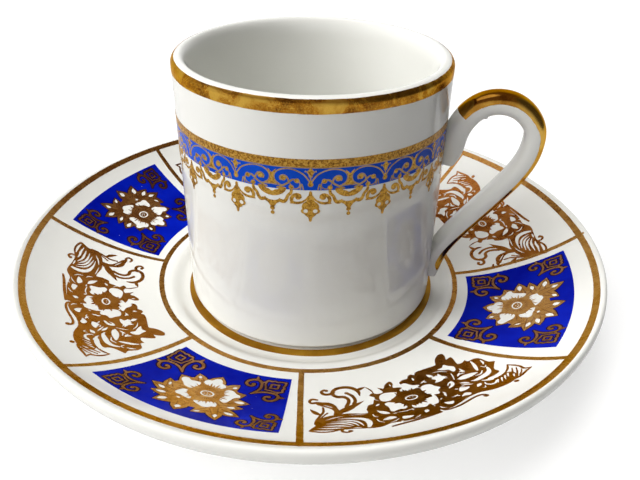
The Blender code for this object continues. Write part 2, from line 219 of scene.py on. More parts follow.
# How far the hand-laid frieze is drawn out of even spacing: along the wall from its first repeat, and shift
FRIEZE_SHIFT = (
    (-31.0, 0.0), (-25.1, 0.0), (-18.85, 0.5), (-12.57, -0.5), (-6.28, -0.15), (0.0, 0.0), (6.28, 0.2),
    (12.57, 0.35), (18.85, 0.45), (25.1, 0.4), (31.0, 0.1), (34.0, 0.0),
)

# Paints of the drawings
GOLD = "gold"
BAND = "band gold"
THIN = "thin gold"
DARK = "dark line"
BLUE = "blue"
CLEAR = None

# Strokes wider than this get round ends, and beads get a rim of this width
ROUND_END = 0.12
BEAD_RIM = 0.13

# Fired golds: dark, middle and light tone, roughness, metal and grain, then for some the brush
# marks' scale and spread
GOLDS = {
    "rim_gold": (
        (0.15, 0.04, 0.002), (0.38, 0.155, 0.011), (0.62, 0.37, 0.06), (0.2, 0.34), 0.9, 0.5, 230.0, 0.11,
    ),
    "ring_gold": (
        (0.28, 0.115, 0.006), (0.40, 0.19, 0.012), (0.54, 0.295, 0.025), (0.14, 0.24), 0.45, 0.1, 130.0,
    ),
    "pendant_gold": (
        (0.19, 0.075, 0.006), (0.40, 0.20, 0.020), (0.60, 0.36, 0.065), (0.2, 0.36), 0.5, 0.6, 1300.0, 0.14,
    ),
    "frieze_gold": (
        (0.11, 0.035, 0.003), (0.33, 0.15, 0.014), (0.56, 0.33, 0.06), (0.2, 0.36), 0.35, 0.4, 2300.0, 0.12,
    ),
    "outline_gold": ((0.24, 0.15, 0.06), (0.33, 0.215, 0.09), (0.43, 0.29, 0.13), (0.2, 0.36), 0.4, 0.3),
    "handle_gold": (
        (0.22, 0.08, 0.008), (0.44, 0.21, 0.03), (0.66, 0.40, 0.08), (0.09, 0.18), 1.0, 0.15, 130.0,
    ),
    "line_gold": ((0.35, 0.16, 0.035), (0.44, 0.225, 0.06), (0.54, 0.30, 0.09), (0.2, 0.34), 1.0, 0.2),
    "rosette_gold": ((0.38, 0.17, 0.045), (0.50, 0.26, 0.09), (0.62, 0.38, 0.15), (0.2, 0.34), 1.0, 0.4),
    "spray_gold": ((0.27, 0.09, 0.018), (0.35, 0.13, 0.028), (0.46, 0.20, 0.05), (0.22, 0.36), 1.0, 0.4),
    "thin_gold": ((0.20, 0.085, 0.035), (0.29, 0.135, 0.065), (0.40, 0.21, 0.11), (0.2, 0.32), 1.0, 0.4),
}

# Enamels: deep and bright tone, and gloss
ENAMELS = {
    "outline_brown": ((0.006, 0.001, 0.02), (0.016, 0.005, 0.04), 0.012),
    "saucer_cobalt": ((0.0005, 0.004, 0.27), (0.0014, 0.012, 0.42), 0.012),
    "frieze_cobalt": ((0.001, 0.045, 0.44), (0.003, 0.085, 0.64), 0.06),
}
GOLD_TINT = (0.92, 0.62, 0.26, 1.0)
BLACK = (0.0, 0.0, 0.0)
WHITE = (1.0, 1.0, 1.0)

# Floor, in metres: its tones for bounced light near the object and further out, and as it is seen
FLOOR_HALF = 2.5
FLOOR_NEAR = (0.90, 0.94)
FLOOR_FAR = (0.32, 0.34)
FLOOR_SEEN = (0.565, 0.585)
FLOOR_FADE = (0.085, 0.115)
FLOOR_GLOW = 0.5
MIRRORED_GLOW = 0.2

# World: a faint light, and the room that reflections show
SKY_LIGHT = 0.02
SKY_COLOUR = (0.97, 0.985, 1.0, 1.0)
BRIGHT_ROOM = (0.8, 0.8, 0.8)
DARK_ROOM = (0.08, 0.07, 0.06)
CEILING = (0.22, 0.15, 0.10)
DARK_WAY = (1.0, 0.0, 0.55)
WINDOW_WAY = (-0.33, 0.22, 0.918)

# Lamps: place in metres, power and colour
LAMP_SIZE = 1.8
LAMP_TARGET = Vector((0.0, 0.0, 0.025))
LOW_LAMP = "left_low_lamp"
LAMPS = (
    ("left_high_lamp", (-1.07, -0.39, 2.47), 31.5, (1.0, 0.99, 0.975)),
    (LOW_LAMP, (-2.3, -0.84, 1.17), 44.5, (1.0, 0.99, 0.975)),
    ("front_lamp", (-1.03, -1.79, 1.76), 28.0, (1.0, 0.99, 0.98)),
    ("back_lamp", (0.0, 0.92, 2.56), 32.0, (1.0, 0.99, 0.98)),
)

# Camera
CAMERA_SPOT = (20.19, -120.62, 90.81)
CAMERA_YAW = math.radians(-8.598)
CAMERA_PITCH = math.radians(32.139)
CAMERA_ROLL = math.radians(1.091)
CAMERA_LENS = 37.29
CAMERA_SENSOR = 36.0
CAMERA_NEAREST = 0.005


def bowl_face(radius):
    """A point on the bowl's upper face: radius and height."""
    slope = np.arcsin((radius - BOWL_CENTRE) / BOWL_RADIUS)
    return (
        float(BOWL_CENTRE + BOWL_RADIUS * np.sin(slope)),
        float(BOWL_HEIGHT - BOWL_RADIUS * np.cos(slope)),
    )


def under_face(radius):
    """The plate's underside at a radius, and its slope."""
    reach = BOWL_RADIUS + PLATE
    slope = math.asin((radius - BOWL_CENTRE) / reach)
    return (radius, BOWL_HEIGHT - reach * math.cos(slope)), slope


def wall_radius(height):
    """Radius of the cup's outer wall at a height."""
    return CUP_RADIUS - CUP_TAPER * (CUP_TOP - height) / CUP_HEIGHT


def lip_point(lean, above):
    """The lip's outer rounding, from its crest at a right angle down to the wall: radius and height."""
    run = wall_radius(LIP_HEIGHT) - CREST + above
    return CREST + run * math.cos(lean), LIP_HEIGHT + (LIP_RISE + above) * math.sin(lean)


def progress(value, start, run):
    """How far a value has come along a run, from 0 to 1."""
    return min(1.0, max(0.0, (value - start) / run))


def arc(centre, radius, start, end, count):
    """Points on an arc, with angles in degrees."""
    turns = np.radians(np.linspace(start, end, count))
    return [(centre[0] + radius * math.cos(t), centre[1] + radius * math.sin(t)) for t in turns]


def bezier(start, near, far, end, count):
    """Points of a cubic curve, with both ends."""
    t = np.linspace(0, 1, count)[:, None]
    corners = [np.array(corner, float) for corner in (start, near, far, end)]
    curve = corners[0] * (1 - t) ** 3 + 3 * corners[1] * t * (1 - t) ** 2
    curve += 3 * corners[2] * t ** 2 * (1 - t) + corners[3] * t ** 3
    return [tuple(point) for point in curve]


def smooth(points, steps, closed=False):
    """A smooth curve through the given points, of any number of coordinates."""
    knots = np.array(points, float)
    if closed:
        padded = np.vstack((knots[-1:], knots, knots[:2]))
    else:
        padded = np.vstack((2 * knots[:1] - knots[1:2], knots, 2 * knots[-1:] - knots[-2:-1]))
    curve = []
    for span in range(len(padded) - 3):
        a, b, c, d = padded[span:span + 4]
        square = 2 * a - 5 * b + 4 * c - d
        cube = 3 * b - a - 3 * c + d
        for step in range(steps):
            t = step / steps
            curve.append(0.5 * (2 * b + (c - a) * t + square * t ** 2 + cube * t ** 3))
    if not closed:
        curve.append(knots[-1])
    return np.array(curve)


class Wander:
    """A small smooth unevenness round a full turn, the same on each run."""

    def __init__(self, seed, size, waves=(3, 7, 11, 19, 31, 53)):
        draw = random.Random(seed)
        self.terms = []
        for k in waves:
            height = size / math.sqrt(k) * draw.uniform(0.6, 1.4)
            self.terms.append((height, k, draw.uniform(0, 6.28)))

    def __call__(self, angle):
        return sum(size * math.sin(k * angle + phase) for size, k, phase in self.terms)


class Drawing:
    """A flat drawing made of closed shapes that paint over each other in order."""

    def __init__(self):
        self.shapes = []

    def shape(self, paint, points):
        self.shapes.append((paint, [(float(x), float(y)) for x, y in points]))

    def blob(self, paint, points, steps=3):
        """A closed smooth outline through a few points."""
        self.shape(paint, smooth(points, steps, closed=True))

    def disc(self, paint, centre, radius, count=14, squash=1.0):
        turns = [2 * math.pi * k / count for k in range(count)]
        high = radius * squash
        x, y = centre
        self.shape(paint, [(x + radius * math.cos(t), y + high * math.sin(t)) for t in turns])

    def stroke(self, paint, points, steps=4):
        """A brush stroke through points (x, y, width), with round ends."""
        curve = smooth(points, steps)
        slope = np.gradient(curve[:, :2], axis=0)
        slope /= np.linalg.norm(slope, axis=1)[:, None]
        across = np.column_stack((-slope[:, 1], slope[:, 0])) * curve[:, 2:3] / 2
        left = curve[:, :2] + across
        right = curve[:, :2] - across
        for k in range(len(curve) - 1):
            ahead = curve[k + 1, :2] - curve[k, :2]
            if min((left[k + 1] - left[k]) @ ahead, (right[k + 1] - right[k]) @ ahead) > 0:
                self.shape(paint, (left[k], right[k], right[k + 1], left[k + 1]))
            else:
                self.shape(paint, (left[k], right[k], right[k + 1]))
                self.shape(paint, (left[k], right[k + 1], left[k + 1]))
        for end in (curve[0], curve[-1]):
            if end[2] > ROUND_END:
                self.disc(paint, end[:2], end[2] / 2, 10)

    def leaf(self, paint, base, tip, width, bend=0.0, fullness=0.8, count=8):
        """A pointed leaf from its base to its tip, bent to one side."""
        base = np.array(base, float)
        along = np.array(tip, float) - base
        side = np.array((-along[1], along[0])) / np.linalg.norm(along)
        left = []
        right = []
        for k in range(count + 1):
            t = k / count
            spine = base + along * t + side * bend * 4 * t * (1 - t)
            half = width / 2 * math.sin(math.pi * t ** fullness) if 0 < k < count else 0.0
            left.append(spine + side * half)
            right.append(spine - side * half)
        self.shape(paint, left[:-1] + right[:0:-1])

    def ink(self, *points):
        """A stroke of gold."""
        self.stroke(GOLD, points)

    def cut(self, *points):
        """A stroke that clears what lies under it."""
        self.stroke(CLEAR, points)

    def hole(self, *points):
        """A cleared blob."""
        self.blob(CLEAR, points)

    def toothed(self, paint, centre, radius, depth, teeth):
        """A disc with a toothed edge."""
        points = []
        for k in range(2 * teeth):
            angle = math.pi * k / teeth
            reach = radius + (depth if k % 2 else 0.0)
            points.append((centre[0] + reach * math.cos(angle), centre[1] + reach * math.sin(angle)))
        self.shape(paint, points)

    def place(self, other, at=(0.0, 0.0), turn=0.0, scale=1.0, mirror=False):
        """Another drawing, mirrored left to right if asked, scaled, turned by degrees and moved."""
        cosine = math.cos(math.radians(turn)) * scale
        sine = math.sin(math.radians(turn)) * scale
        for paint, points in other.shapes:
            moved = []
            for x, y in points:
                x = -x if mirror else x
                moved.append((at[0] + x * cosine - y * sine, at[1] + x * sine + y * cosine))
            self.shape(paint, moved)

    def filled(self, spacing, corners):
        """Triangles that each have one paint, the last one laid there: points, and triangles by paint."""
        index = {}
        points = []

        def vertex(point):
            key = (round(point[0], 4), round(point[1], 4))
            if key not in index:
                index[key] = len(points)
                points.append(Vector(key))
            return index[key]

        faces = []
        paints = []
        for paint, outline in self.shapes:
            loop = []
            for start, end in zip(outline, outline[1:] + outline[:1]):
                pieces = max(1, math.ceil(math.dist(start, end) / spacing))
                for piece in range(pieces):
                    number = vertex([a + (b - a) * (piece / pieces) for a, b in zip(start, end)])
                    if number not in loop:
                        loop.append(number)
            around = [points[number] for number in loop]
            area = sum(p.cross(q) for p, q in zip(around, around[1:] + around[:1]))
            if len(loop) < 3 or abs(area) < 1e-6:
                continue
            faces.append(loop if area > 0 else loop[::-1])
            paints.append(paint)
        (left, low), (right, high) = corners
        for row in np.arange(low + spacing / 2, high, spacing):
            for column in np.arange(left + spacing / 2, right, spacing):
                vertex((column, row))
        flat, _, triangles, _, _, origins = geometry.delaunay_2d_cdt(points, [], faces, 1, 1e-5, True)
        layers = {}
        for triangle, origin in zip(triangles, origins):
            paint = paints[max(origin)] if origin else CLEAR
            if paint is not CLEAR:
                layers.setdefault(paint, []).append(tuple(triangle))
        return np.array([tuple(point) for point in flat]), layers


def new_piece(name, mesh, materials, body, slot, *nodes):
    """A finished piece that rides on a body and stands for the CAD nodes that it replaces.

    Its mesh is points in millimetres, faces and, where it has two materials, a mark for each face.
    """
    points, faces, *marks = mesh
    build = bmesh.new()
    corners = [build.verts.new(point) for point in np.asarray(points, float) * MM]
    for number, face in enumerate(faces):
        made = build.faces.new([corners[k] for k in face])
        made.smooth = True
        if marks:
            made.material_index = marks[0][number]
    bmesh.ops.recalc_face_normals(build, faces=build.faces)
    mesh = bpy.data.meshes.new(name)
    build.to_mesh(mesh)
    build.free()
    mesh.set_sharp_from_angle(angle=SHARP_ANGLE)
    for material in materials:
        mesh.materials.append(material)
    obj = bpy.data.objects.new(name, mesh)
    bpy.context.scene.collection.objects.link(obj)
    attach(obj, body)
    if body == "cup":
        cup_pieces.objects.link(obj)
    if nodes:
        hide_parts(*nodes)


def turned(profile, segments, bare):
    """A half outline from axis to axis turned round Z: points, faces and marks for its unglazed rows."""
    turns = 2 * np.pi * np.arange(segments) / segments
    points = []
    rows = []
    for radius, height in profile:
        if radius < 1e-6:
            rows.append([len(points)] * segments)
            points.append((0.0, 0.0, height))
            continue
        rows.append(list(range(len(points), len(points) + segments)))
        points += [(radius * math.cos(t), radius * math.sin(t), height) for t in turns]
    faces = []
    marks = []
    for number, (near, far) in enumerate(zip(rows, rows[1:])):
        for k in range(segments):
            following = (k + 1) % segments
            face = dict.fromkeys((near[k], near[following], far[following], far[k]))
            faces.append(tuple(face))
            marks.append(1 if number in bare else 0)
    return points, faces, marks


def strip(place, across, along, closed):
    """A thin closed layer on a grid, where place(u, v, depth) gives a point, u across and v along."""
    columns = along if closed else along + 1
    rows = across + 1
    points = []
    for depth in (LIFT, -SINK):
        for j in range(columns):
            points += [place(i / across, j / along, depth) for i in range(rows)]
    under = columns * rows
    faces = []
    for j in range(along):
        here = j * rows
        there = (j + 1) % columns * rows
        for i in range(across):
            faces.append((here + i, here + i + 1, there + i + 1, there + i))
            faces.append(tuple(under + k for k in (there + i, there + i + 1, here + i + 1, here + i)))
        for i in (0, across):
            faces.append((here + i, there + i, under + there + i, under + here + i))
    if not closed:
        for here in (0, along * rows):
            for i in range(across):
                faces.append((here + i, here + i + 1, under + here + i + 1, under + here + i))
    return points, faces


def slab(flat, triangles, place):
    """A thin closed layer from painted triangles, where place(points, depth) lays them on a surface."""
    used = sorted({k for triangle in triangles for k in triangle})
    number = {old: new for new, old in enumerate(used)}
    upper = place(flat[used], LIFT)
    lower = place(flat[used], -SINK)
    count = len(used)
    faces = []
    sides = {}
    for triangle in triangles:
        a, b, c = (number[k] for k in triangle)
        faces.append((a, b, c))
        faces.append((c + count, b + count, a + count))
        for start, end in ((a, b), (b, c), (c, a)):
            if (end, start) in sides:
                del sides[(end, start)]
            else:
                sides[(start, end)] = True
    faces += [(a, a + count, b + count, b) for a, b in sides]
    return np.vstack((upper, lower)), faces


def on_dish(radius, degrees, depth):
    """Points on the saucer's upper face from polar places, at a depth in its layers along its normal."""
    slope = np.arctan(np.interp(radius, DISH[:, 0], DISH[:, 2]))
    height = np.interp(radius, DISH[:, 0], DISH[:, 1]) + depth * np.cos(slope)
    ring = radius - depth * np.sin(slope)
    turn = np.radians(degrees)
    return np.column_stack((ring * np.cos(turn), ring * np.sin(turn), height))


def on_bowl(azimuth, radius):
    """Lays a drawing on the saucer's bowl: y outward from a radius, x clockwise as seen from above."""
    def place(points, depth):
        out = radius + points[:, 1]
        turn = azimuth - np.degrees(np.arctan2(points[:, 0], out))
        return on_dish(np.hypot(out, points[:, 0]), turn, depth)
    return place


def on_field(corners):
    """Lays a panel's drawing on the bowl so that its corners come to the given places."""
    near_inner, far_inner, near_outer, far_outer = (np.array(corner) for corner in corners)

    def place(points, depth):
        out = FIELD_RADIUS + points[:, 1]
        across = ((PANEL_TURN - np.arctan2(points[:, 0], out)) / (2 * PANEL_TURN))[:, None]
        rise = ((np.hypot(out, points[:, 0]) - PANEL[0]) / (PANEL[1] - PANEL[0]))[:, None]
        inner = near_inner + (far_inner - near_inner) * across
        outer = near_outer + (far_outer - near_outer) * across
        polar = inner + (outer - inner) * rise
        return on_dish(polar[:, 1], polar[:, 0], depth)
    return place


def on_wall(points, depth):
    """Lays a drawing on the cup's wall: x along the wall from azimuth 0, y as the height."""
    turn = points[:, 0] / CUP_RADIUS
    ring = wall_radius(points[:, 1]) + depth
    return np.column_stack((ring * np.cos(turn), ring * np.sin(turn), points[:, 1]))


def eased(table, degrees):
    """A value from a table of (degrees, value) round a full turn, with its corners rounded off."""
    angles, values = np.array(table).T
    around = [(degrees + step + 180) % 360 - 180 for step in (-8, -4, 0, 4, 8)]
    return float(np.mean(np.interp(around, angles, values)))


def add_node(tree, kind, output, inputs, **settings):
    """A new shader node, its inputs given as values or as sockets to link: its named output."""
    made = tree.nodes.new("ShaderNode" + kind)
    for name, value in settings.items():
        setattr(made, name, value)
    for name, value in inputs.items():
        if isinstance(value, bpy.types.NodeSocket):
            tree.links.new(value, made.inputs[name])
        else:
            made.inputs[name].default_value = value
    return made.outputs[output]


def add_math(tree, operation, *values):
    return add_node(tree, "Math", "Value", dict(enumerate(values)), operation=operation)


def add_mix(tree, share, first, second, blend="MIX"):
    """Two colours mixed by a share."""
    inputs = {"Factor": share, "A": first, "B": second}
    return add_node(tree, "Mix", "Result", inputs, data_type="RGBA", blend_type=blend)


def add_ramp(tree, source, *stops):
    """A colour ramp from stops (position, colour)."""
    made = tree.nodes.new("ShaderNodeValToRGB")
    elements = made.color_ramp.elements
    while len(elements) < len(stops):
        elements.new(0.5)
    for element, (position, colour) in zip(elements, stops):
        element.position = position
        element.color = (*colour, 1.0)
    tree.links.new(source, made.inputs["Fac"])
    return made.outputs["Color"]


def add_rays(tree):
    """Whether a ray comes from the camera, whether it is mirrored or passed through, or either."""
    rays = tree.nodes.new("ShaderNodeLightPath").outputs
    passed_on = add_math(tree, "MAXIMUM", rays["Is Glossy Ray"], rays["Is Transmission Ray"])
    return rays["Is Camera Ray"], passed_on, add_math(tree, "MAXIMUM", rays["Is Camera Ray"], passed_on)


class Finish:
    """A procedural material under construction, with its shader and object coordinates."""

    def __init__(self, name):
        self.material = bpy.data.materials.new(name)
        self.material.use_nodes = True
        self.tree = self.material.node_tree
        self.shader = self.tree.nodes["Principled BSDF"]
        self.place = self.tree.nodes.new("ShaderNodeTexCoord").outputs["Object"]

    def noise(self, scale, detail=2.0, roughness=0.5, distortion=0.0):
        """Noise whose scale counts features per metre."""
        inputs = {"Scale": scale, "Detail": detail, "Roughness": roughness, "Distortion": distortion}
        return add_node(self.tree, "TexNoise", "Fac", {"Vector": self.place, **inputs})

    def ramp(self, source, *stops):
        return add_ramp(self.tree, source, *stops)

    def span(self, source, low, high, start=0.3, end=0.7):
        """Maps noise to a range of values."""
        inputs = {"From Min": start, "From Max": end, "To Min": low, "To Max": high}
        return add_node(self.tree, "MapRange", "Result", {"Value": source, **inputs})

    def bump(self, source, depth, strength=1.0):
        """Bump of a depth in millimetres."""
        inputs = {"Height": source, "Distance": depth * MM, "Strength": strength}
        self.feed("Normal", add_node(self.tree, "Bump", "Normal", inputs))

    def set(self, **values):
        """Values of the shader's own sockets, with spaces written as underscores."""
        for name, value in values.items():
            self.shader.inputs[name.replace("_", " ")].default_value = value
        return self

    def feed(self, socket, source):
        self.tree.links.new(source, self.shader.inputs[socket])


def glaze_finish():
    """White porcelain under a clear glaze: a faint cloudiness, and the slight waves of a poured glaze."""
    finish = Finish("porcelain_glaze")
    cloud = finish.noise(45.0, 3.0)
    tone = finish.ramp(cloud, (0.3, (0.805, 0.808, 0.770)), (0.7, (0.845, 0.848, 0.810)))
    finish.feed("Base Color", tone)
    finish.feed("Roughness", finish.span(finish.noise(260.0), 0.05, 0.10))
    finish.bump(finish.noise(90.0, 1.0), 0.06, 0.35)
    return finish.material


def bisque_finish():
    """Unglazed porcelain on the foot rings, ground a little and stained by use."""
    finish = Finish("bare_foot_ring")
    stain = finish.noise(220.0, 5.0, 0.65)
    finish.feed("Base Color", finish.ramp(stain, (0.35, (0.62, 0.58, 0.51)), (0.65, (0.78, 0.76, 0.71))))
    finish.feed("Roughness", finish.span(finish.noise(900.0, 3.0), 0.6, 0.85))
    finish.bump(finish.noise(2600.0, 3.0), 0.03)
    return finish.material


def gold_finish(name, dark, middle, light, rough, metal, grain, clouds=420.0, spread=0.17):
    """Fired gold: mottled by the brush, with fine specks and small pits."""
    finish = Finish(name)
    brush = finish.noise(clouds, 4.0, 0.6, 0.6)
    tone = finish.ramp(brush, (0.5 - spread, dark), (0.5, middle), (0.5 + spread, light))
    speck = finish.noise(4200.0, 2.0, 0.6)
    spotted = finish.ramp(speck, (0.36, dark), (0.62, light))
    share = finish.span(speck, 0.0, grain, 0.42, 0.6)
    finish.feed("Base Color", add_mix(finish.tree, share, tone, spotted))
    finish.feed("Roughness", finish.span(brush, *rough))
    finish.bump(finish.noise(1500.0, 3.0, 0.55), 0.02, 0.5)
    return finish.set(Metallic=metal, Specular_Tint=GOLD_TINT).material


def enamel_finish(name, deep, bright, gloss):
    """Enamel: a little cloudy, with a few pinholes that show the white body."""
    finish = Finish(name)
    cloud = finish.noise(130.0, 4.0, 0.55)
    tone = finish.ramp(cloud, (0.32, deep), (0.68, bright))
    cells = add_node(finish.tree, "TexVoronoi", "Distance", {"Vector": finish.place, "Scale": 700.0})
    pin = finish.ramp(cells, (0.045, WHITE), (0.075, BLACK))
    rare = finish.ramp(finish.noise(160.0, 2.0), (0.60, BLACK), (0.68, WHITE))
    white = finish.ramp(cloud, (0.0, (0.55, 0.58, 0.70)), (1.0, (0.65, 0.68, 0.75)))
    pinhole = add_math(finish.tree, "MULTIPLY", pin, rare)
    finish.feed("Base Color", add_mix(finish.tree, pinhole, tone, white))
    finish.feed("Roughness", finish.span(finish.noise(300.0), 0.07, 0.14))
    finish.bump(finish.noise(500.0, 2.0), 0.015, 0.5)
    return finish.set(Specular_IOR_Level=gloss).material


def saucer_profile():
    """The saucer's half outline, and the rows that are left unglazed under its foot ring."""
    middle = WELL_RADIUS + WELL_STEP / 2
    step_handles = ((middle, WELL_FLOOR), (middle, SHOULDER_HEIGHT))
    step_head = (WELL_RADIUS + WELL_STEP, SHOULDER_HEIGHT)
    points = [(radius, WELL_FLOOR) for radius in (0.0, 6.0, 12.0, 18.0, 22.0, 25.0)]
    points += bezier((WELL_RADIUS, WELL_FLOOR), *step_handles, step_head, 13)
    for radius in np.linspace(SHOULDER_RADIUS, EDGE_RADIUS, 41):
        points.append(bowl_face(radius))
    under, slope = under_face(EDGE_RADIUS)
    reach = RIM_NOSE / (0.75 * math.cos(EDGE_SLOPE))
    upper_handle = (EDGE_RADIUS + reach * math.cos(EDGE_SLOPE), EDGE_HEIGHT + reach * math.sin(EDGE_SLOPE))
    under_handle = (under[0] + reach * math.cos(slope), under[1] + reach * math.sin(slope))
    points += bezier((EDGE_RADIUS, EDGE_HEIGHT), upper_handle, under_handle, under, 19)[1:]
    for radius in np.linspace(EDGE_RADIUS, FOOT_RADIUS + FOOT_FLARE, 22)[1:]:
        points.append(under_face(radius)[0])
    outer_curve = [(FOOT_RADIUS + x, FOOT_HEIGHT + y) for x, y in FOOT_OUTER_CURVE]
    points += bezier(points[-1], *outer_curve, 7)[1:]
    points += arc((FOOT_RADIUS - FOOT_ROUND_INSET, FOOT_ROUND), FOOT_ROUND, 0, -90, 5)
    first_bare = len(points) - 2
    inner = FOOT_RADIUS - FOOT_WIDTH
    points += arc((inner + FOOT_ROUND, FOOT_ROUND), FOOT_ROUND, -90, -180, 5)
    bare = range(first_bare, len(points) - 3)
    points += bezier(*[(inner + x, FOOT_HEIGHT + y) for x, y in FOOT_INNER_CURVE], 5)
    points += [(radius, FOOT_HEIGHT) for radius in (20.0, 10.0, 0.0)]
    return points, bare


def upper_face():
    """Radius, height and slope along the saucer's upper face, from the middle to the edge."""
    points, _ = saucer_profile()
    radii = [radius for radius, _ in points]
    side = np.array(points[:radii.index(max(radii)) + 1])
    return np.column_stack((side, np.gradient(side[:, 1]) / np.maximum(np.gradient(side[:, 0]), 1e-6)))


DISH = upper_face()


def cup_profile():
    """The cup's half outline, and the rows that are left unglazed under its foot."""
    inner = wall_radius(CUP_FLOOR) - CUP_WALL
    points = [(radius, CUP_FLOOR) for radius in (0.0, 6.0, 12.0)]
    points += arc((inner - INNER_ROUND, CUP_FLOOR + INNER_ROUND), INNER_ROUND, -90, 0, 17)
    start = np.array(points[-1])
    end = np.array((wall_radius(CUP_TOP) - CUP_WALL, LIP_HEIGHT + LIP_RISE - LIP_INNER_RISE))
    points += [tuple(start + (end - start) * t) for t in np.linspace(0, 1, 14)[1:-1]]
    for turn in np.radians(np.linspace(180, 90, 19))[:-1]:
        points.append((CREST + (CREST - end[0]) * math.cos(turn), end[1] + LIP_INNER_RISE * math.sin(turn)))
    points += [lip_point(turn, 0.0) for turn in np.linspace(math.pi / 2, 0, 13)]
    turn_height = CUP_RECESS + LOWER_ROUND
    points += [(wall_radius(height), height) for height in np.linspace(LIP_HEIGHT, turn_height, 24)[1:-1]]
    turn = (wall_radius(turn_height) - LOWER_ROUND, turn_height)
    points += arc(turn, LOWER_ROUND, 0, -84, 12)
    outer = turn[0] - CUP_FOOT_INSET
    points += [(outer + x, CUP_RECESS + y) for x, y in CUP_FOOT_OUTER]
    foot_height = CUP_BASE + CUP_FOOT_ROUND
    points += arc((outer - CUP_ROUND_INSET, foot_height), CUP_FOOT_ROUND, 0, -90, 5)
    first_bare = len(points) - 2
    foot_inner = outer - CUP_FOOT_WIDTH
    points += arc((foot_inner + CUP_FOOT_ROUND, foot_height), CUP_FOOT_ROUND, -90, -180, 5)
    bare = range(first_bare, len(points) - 3)
    points += [(foot_inner + x, CUP_RECESS + y) for x, y in CUP_FOOT_INNER]
    points += [(radius, CUP_RECESS) for radius in (15.0, 8.0, 0.0)]
    return points, bare


def handle_path():
    """Points and tangents along the middle of the handle, a curve through its corners eased a little."""
    corners = HANDLE_ROOT + arc(BOW_CENTRE, BOW_RADIUS, *BOW_TURNS) + HANDLE_FOOT
    curve = smooth(corners, HANDLE_STEPS)
    runs = np.linalg.norm(np.gradient(curve, axis=0), axis=1)
    along = np.cumsum(runs)
    middle = []
    for point, place in zip(curve, along):
        weights = runs * np.exp(-0.5 * ((along - place) / HANDLE_EASE) ** 2)
        share = min(1.0, min(place, along[-1] - place) / (2 * HANDLE_EASE))
        middle.append(point + (weights @ curve / weights.sum() - point) * share)
    slopes = np.gradient(np.array(middle), axis=0)
    slopes /= np.linalg.norm(slopes, axis=1)[:, None]
    return list(zip(middle, slopes))


def handle_point(sample, share, angle, grow=0.0, scale=1.0):
    """A point on the handle's rounded section, at an angle round it from the outer side."""
    (x, z), (tangent_x, tangent_z) = sample
    cosine = math.cos(angle)
    sine = math.sin(angle)
    taper = min(1.0, share / HANDLE_TAPER_END)
    thickness = HANDLE_ROOT_THICKNESS + (HANDLE_THICKNESS - HANDLE_ROOT_THICKNESS) * taper
    if cosine < 0:
        thickness *= 1.0 - SPUR_THINNING * max(0.0, 1.0 - share / SPUR_LENGTH) ** 1.5
        thickness += THUMB_SWELL * math.exp(-((share - THUMB_PLACE) / THUMB_SPREAD) ** 2)
    outward = math.copysign(abs(cosine) ** HANDLE_POWER, cosine) * (scale * thickness / 2 + grow)
    sideways = math.copysign(abs(sine) ** HANDLE_POWER, sine) * (scale * HANDLE_WIDTH / 2 + grow)
    return (x - tangent_z * outward, sideways, z + tangent_x * outward)


def handle_rings():
    """Rings of the handle from the rounded spur, round the bow and down into the wall."""
    path = handle_path()
    turns = [2 * math.pi * k / HANDLE_SIDES for k in range(HANDLE_SIDES)]
    rings = []
    first, heading = path[0]
    for k in range(SPUR_RINGS):
        lean = math.radians(90 - 90 / (SPUR_RINGS - 1) * k)
        sample = (first + heading * SPUR_ROUND * (1 - math.sin(lean)), heading)
        scale = 1.0 - SPUR_SHRINK * (1 - math.cos(lean))
        rings.append([handle_point(sample, 0.0, turn, 0.0, scale) for turn in turns])
    last = len(path) - 1
    for k, sample in enumerate(path[2:], 2):
        rings.append([handle_point(sample, k / last, turn) for turn in turns])
    return rings


def lofted(rings):
    """A closed loft through rings of points, with a fan on each end."""
    count = len(rings[0])
    points = [point for ring in rings for point in ring]
    faces = []
    for k in range(len(rings) - 1):
        for i in range(count):
            j = (i + 1) % count
            faces.append((k * count + i, k * count + j, (k + 1) * count + j, (k + 1) * count + i))
    for ring in (0, len(rings) - 1):
        middle = len(points)
        points.append(tuple(np.mean(rings[ring], axis=0)))
        for i in range(count):
            faces.append((ring * count + i, ring * count + (i + 1) % count, middle))
    return points, faces


def make_saucer(glaze, bisque, gold, bright):
    """The saucer with its two lines and the ring in its well."""
    profile, bare = saucer_profile()
    dish = turned(profile, SAUCER_SEGMENTS, bare)
    new_piece("saucer_dish", dish, (glaze, bisque), "saucer", "porcelain", "saucer")

    def line(table, widths, seed):
        near = Wander(seed, LINE_WANDER)
        far = Wander(seed + 1, LINE_WANDER)

        def place(u, v, depth):
            turn = 2 * math.pi * v
            degrees = 360 * v
            edge = near(turn) + (far(turn) - near(turn)) * u
            radius = eased(table, degrees) + eased(widths, degrees) * (u - 0.5) + edge
            return tuple(on_dish(np.array([radius]), degrees, depth)[0])
        return strip(place, LINE_COLUMNS, LINE_STEPS, True)

    lines = (("rim_line", RIM_LINE, RIM_WIDTH, 11), ("inner_line", INNER_LINE, INNER_WIDTH, 23))
    for name, table, widths, seed in lines:
        new_piece(name, line(table, widths, seed), (gold,), "saucer", "saucer_gold", "saucer_" + name)

    def well(u, v, depth):
        turn = 2 * math.pi * v
        radius = WELL_RING[0] + (WELL_RING[1] - WELL_RING[0]) * u
        radius += LINE_WANDER * math.sin(9 * turn) * u
        return (radius * math.cos(turn), radius * math.sin(turn), WELL_FLOOR + depth)

    ring = strip(well, LINE_COLUMNS, RING_STEPS, True)
    new_piece("well_ring", ring, (bright,), "saucer", "saucer_gold", "saucer_well_ring")


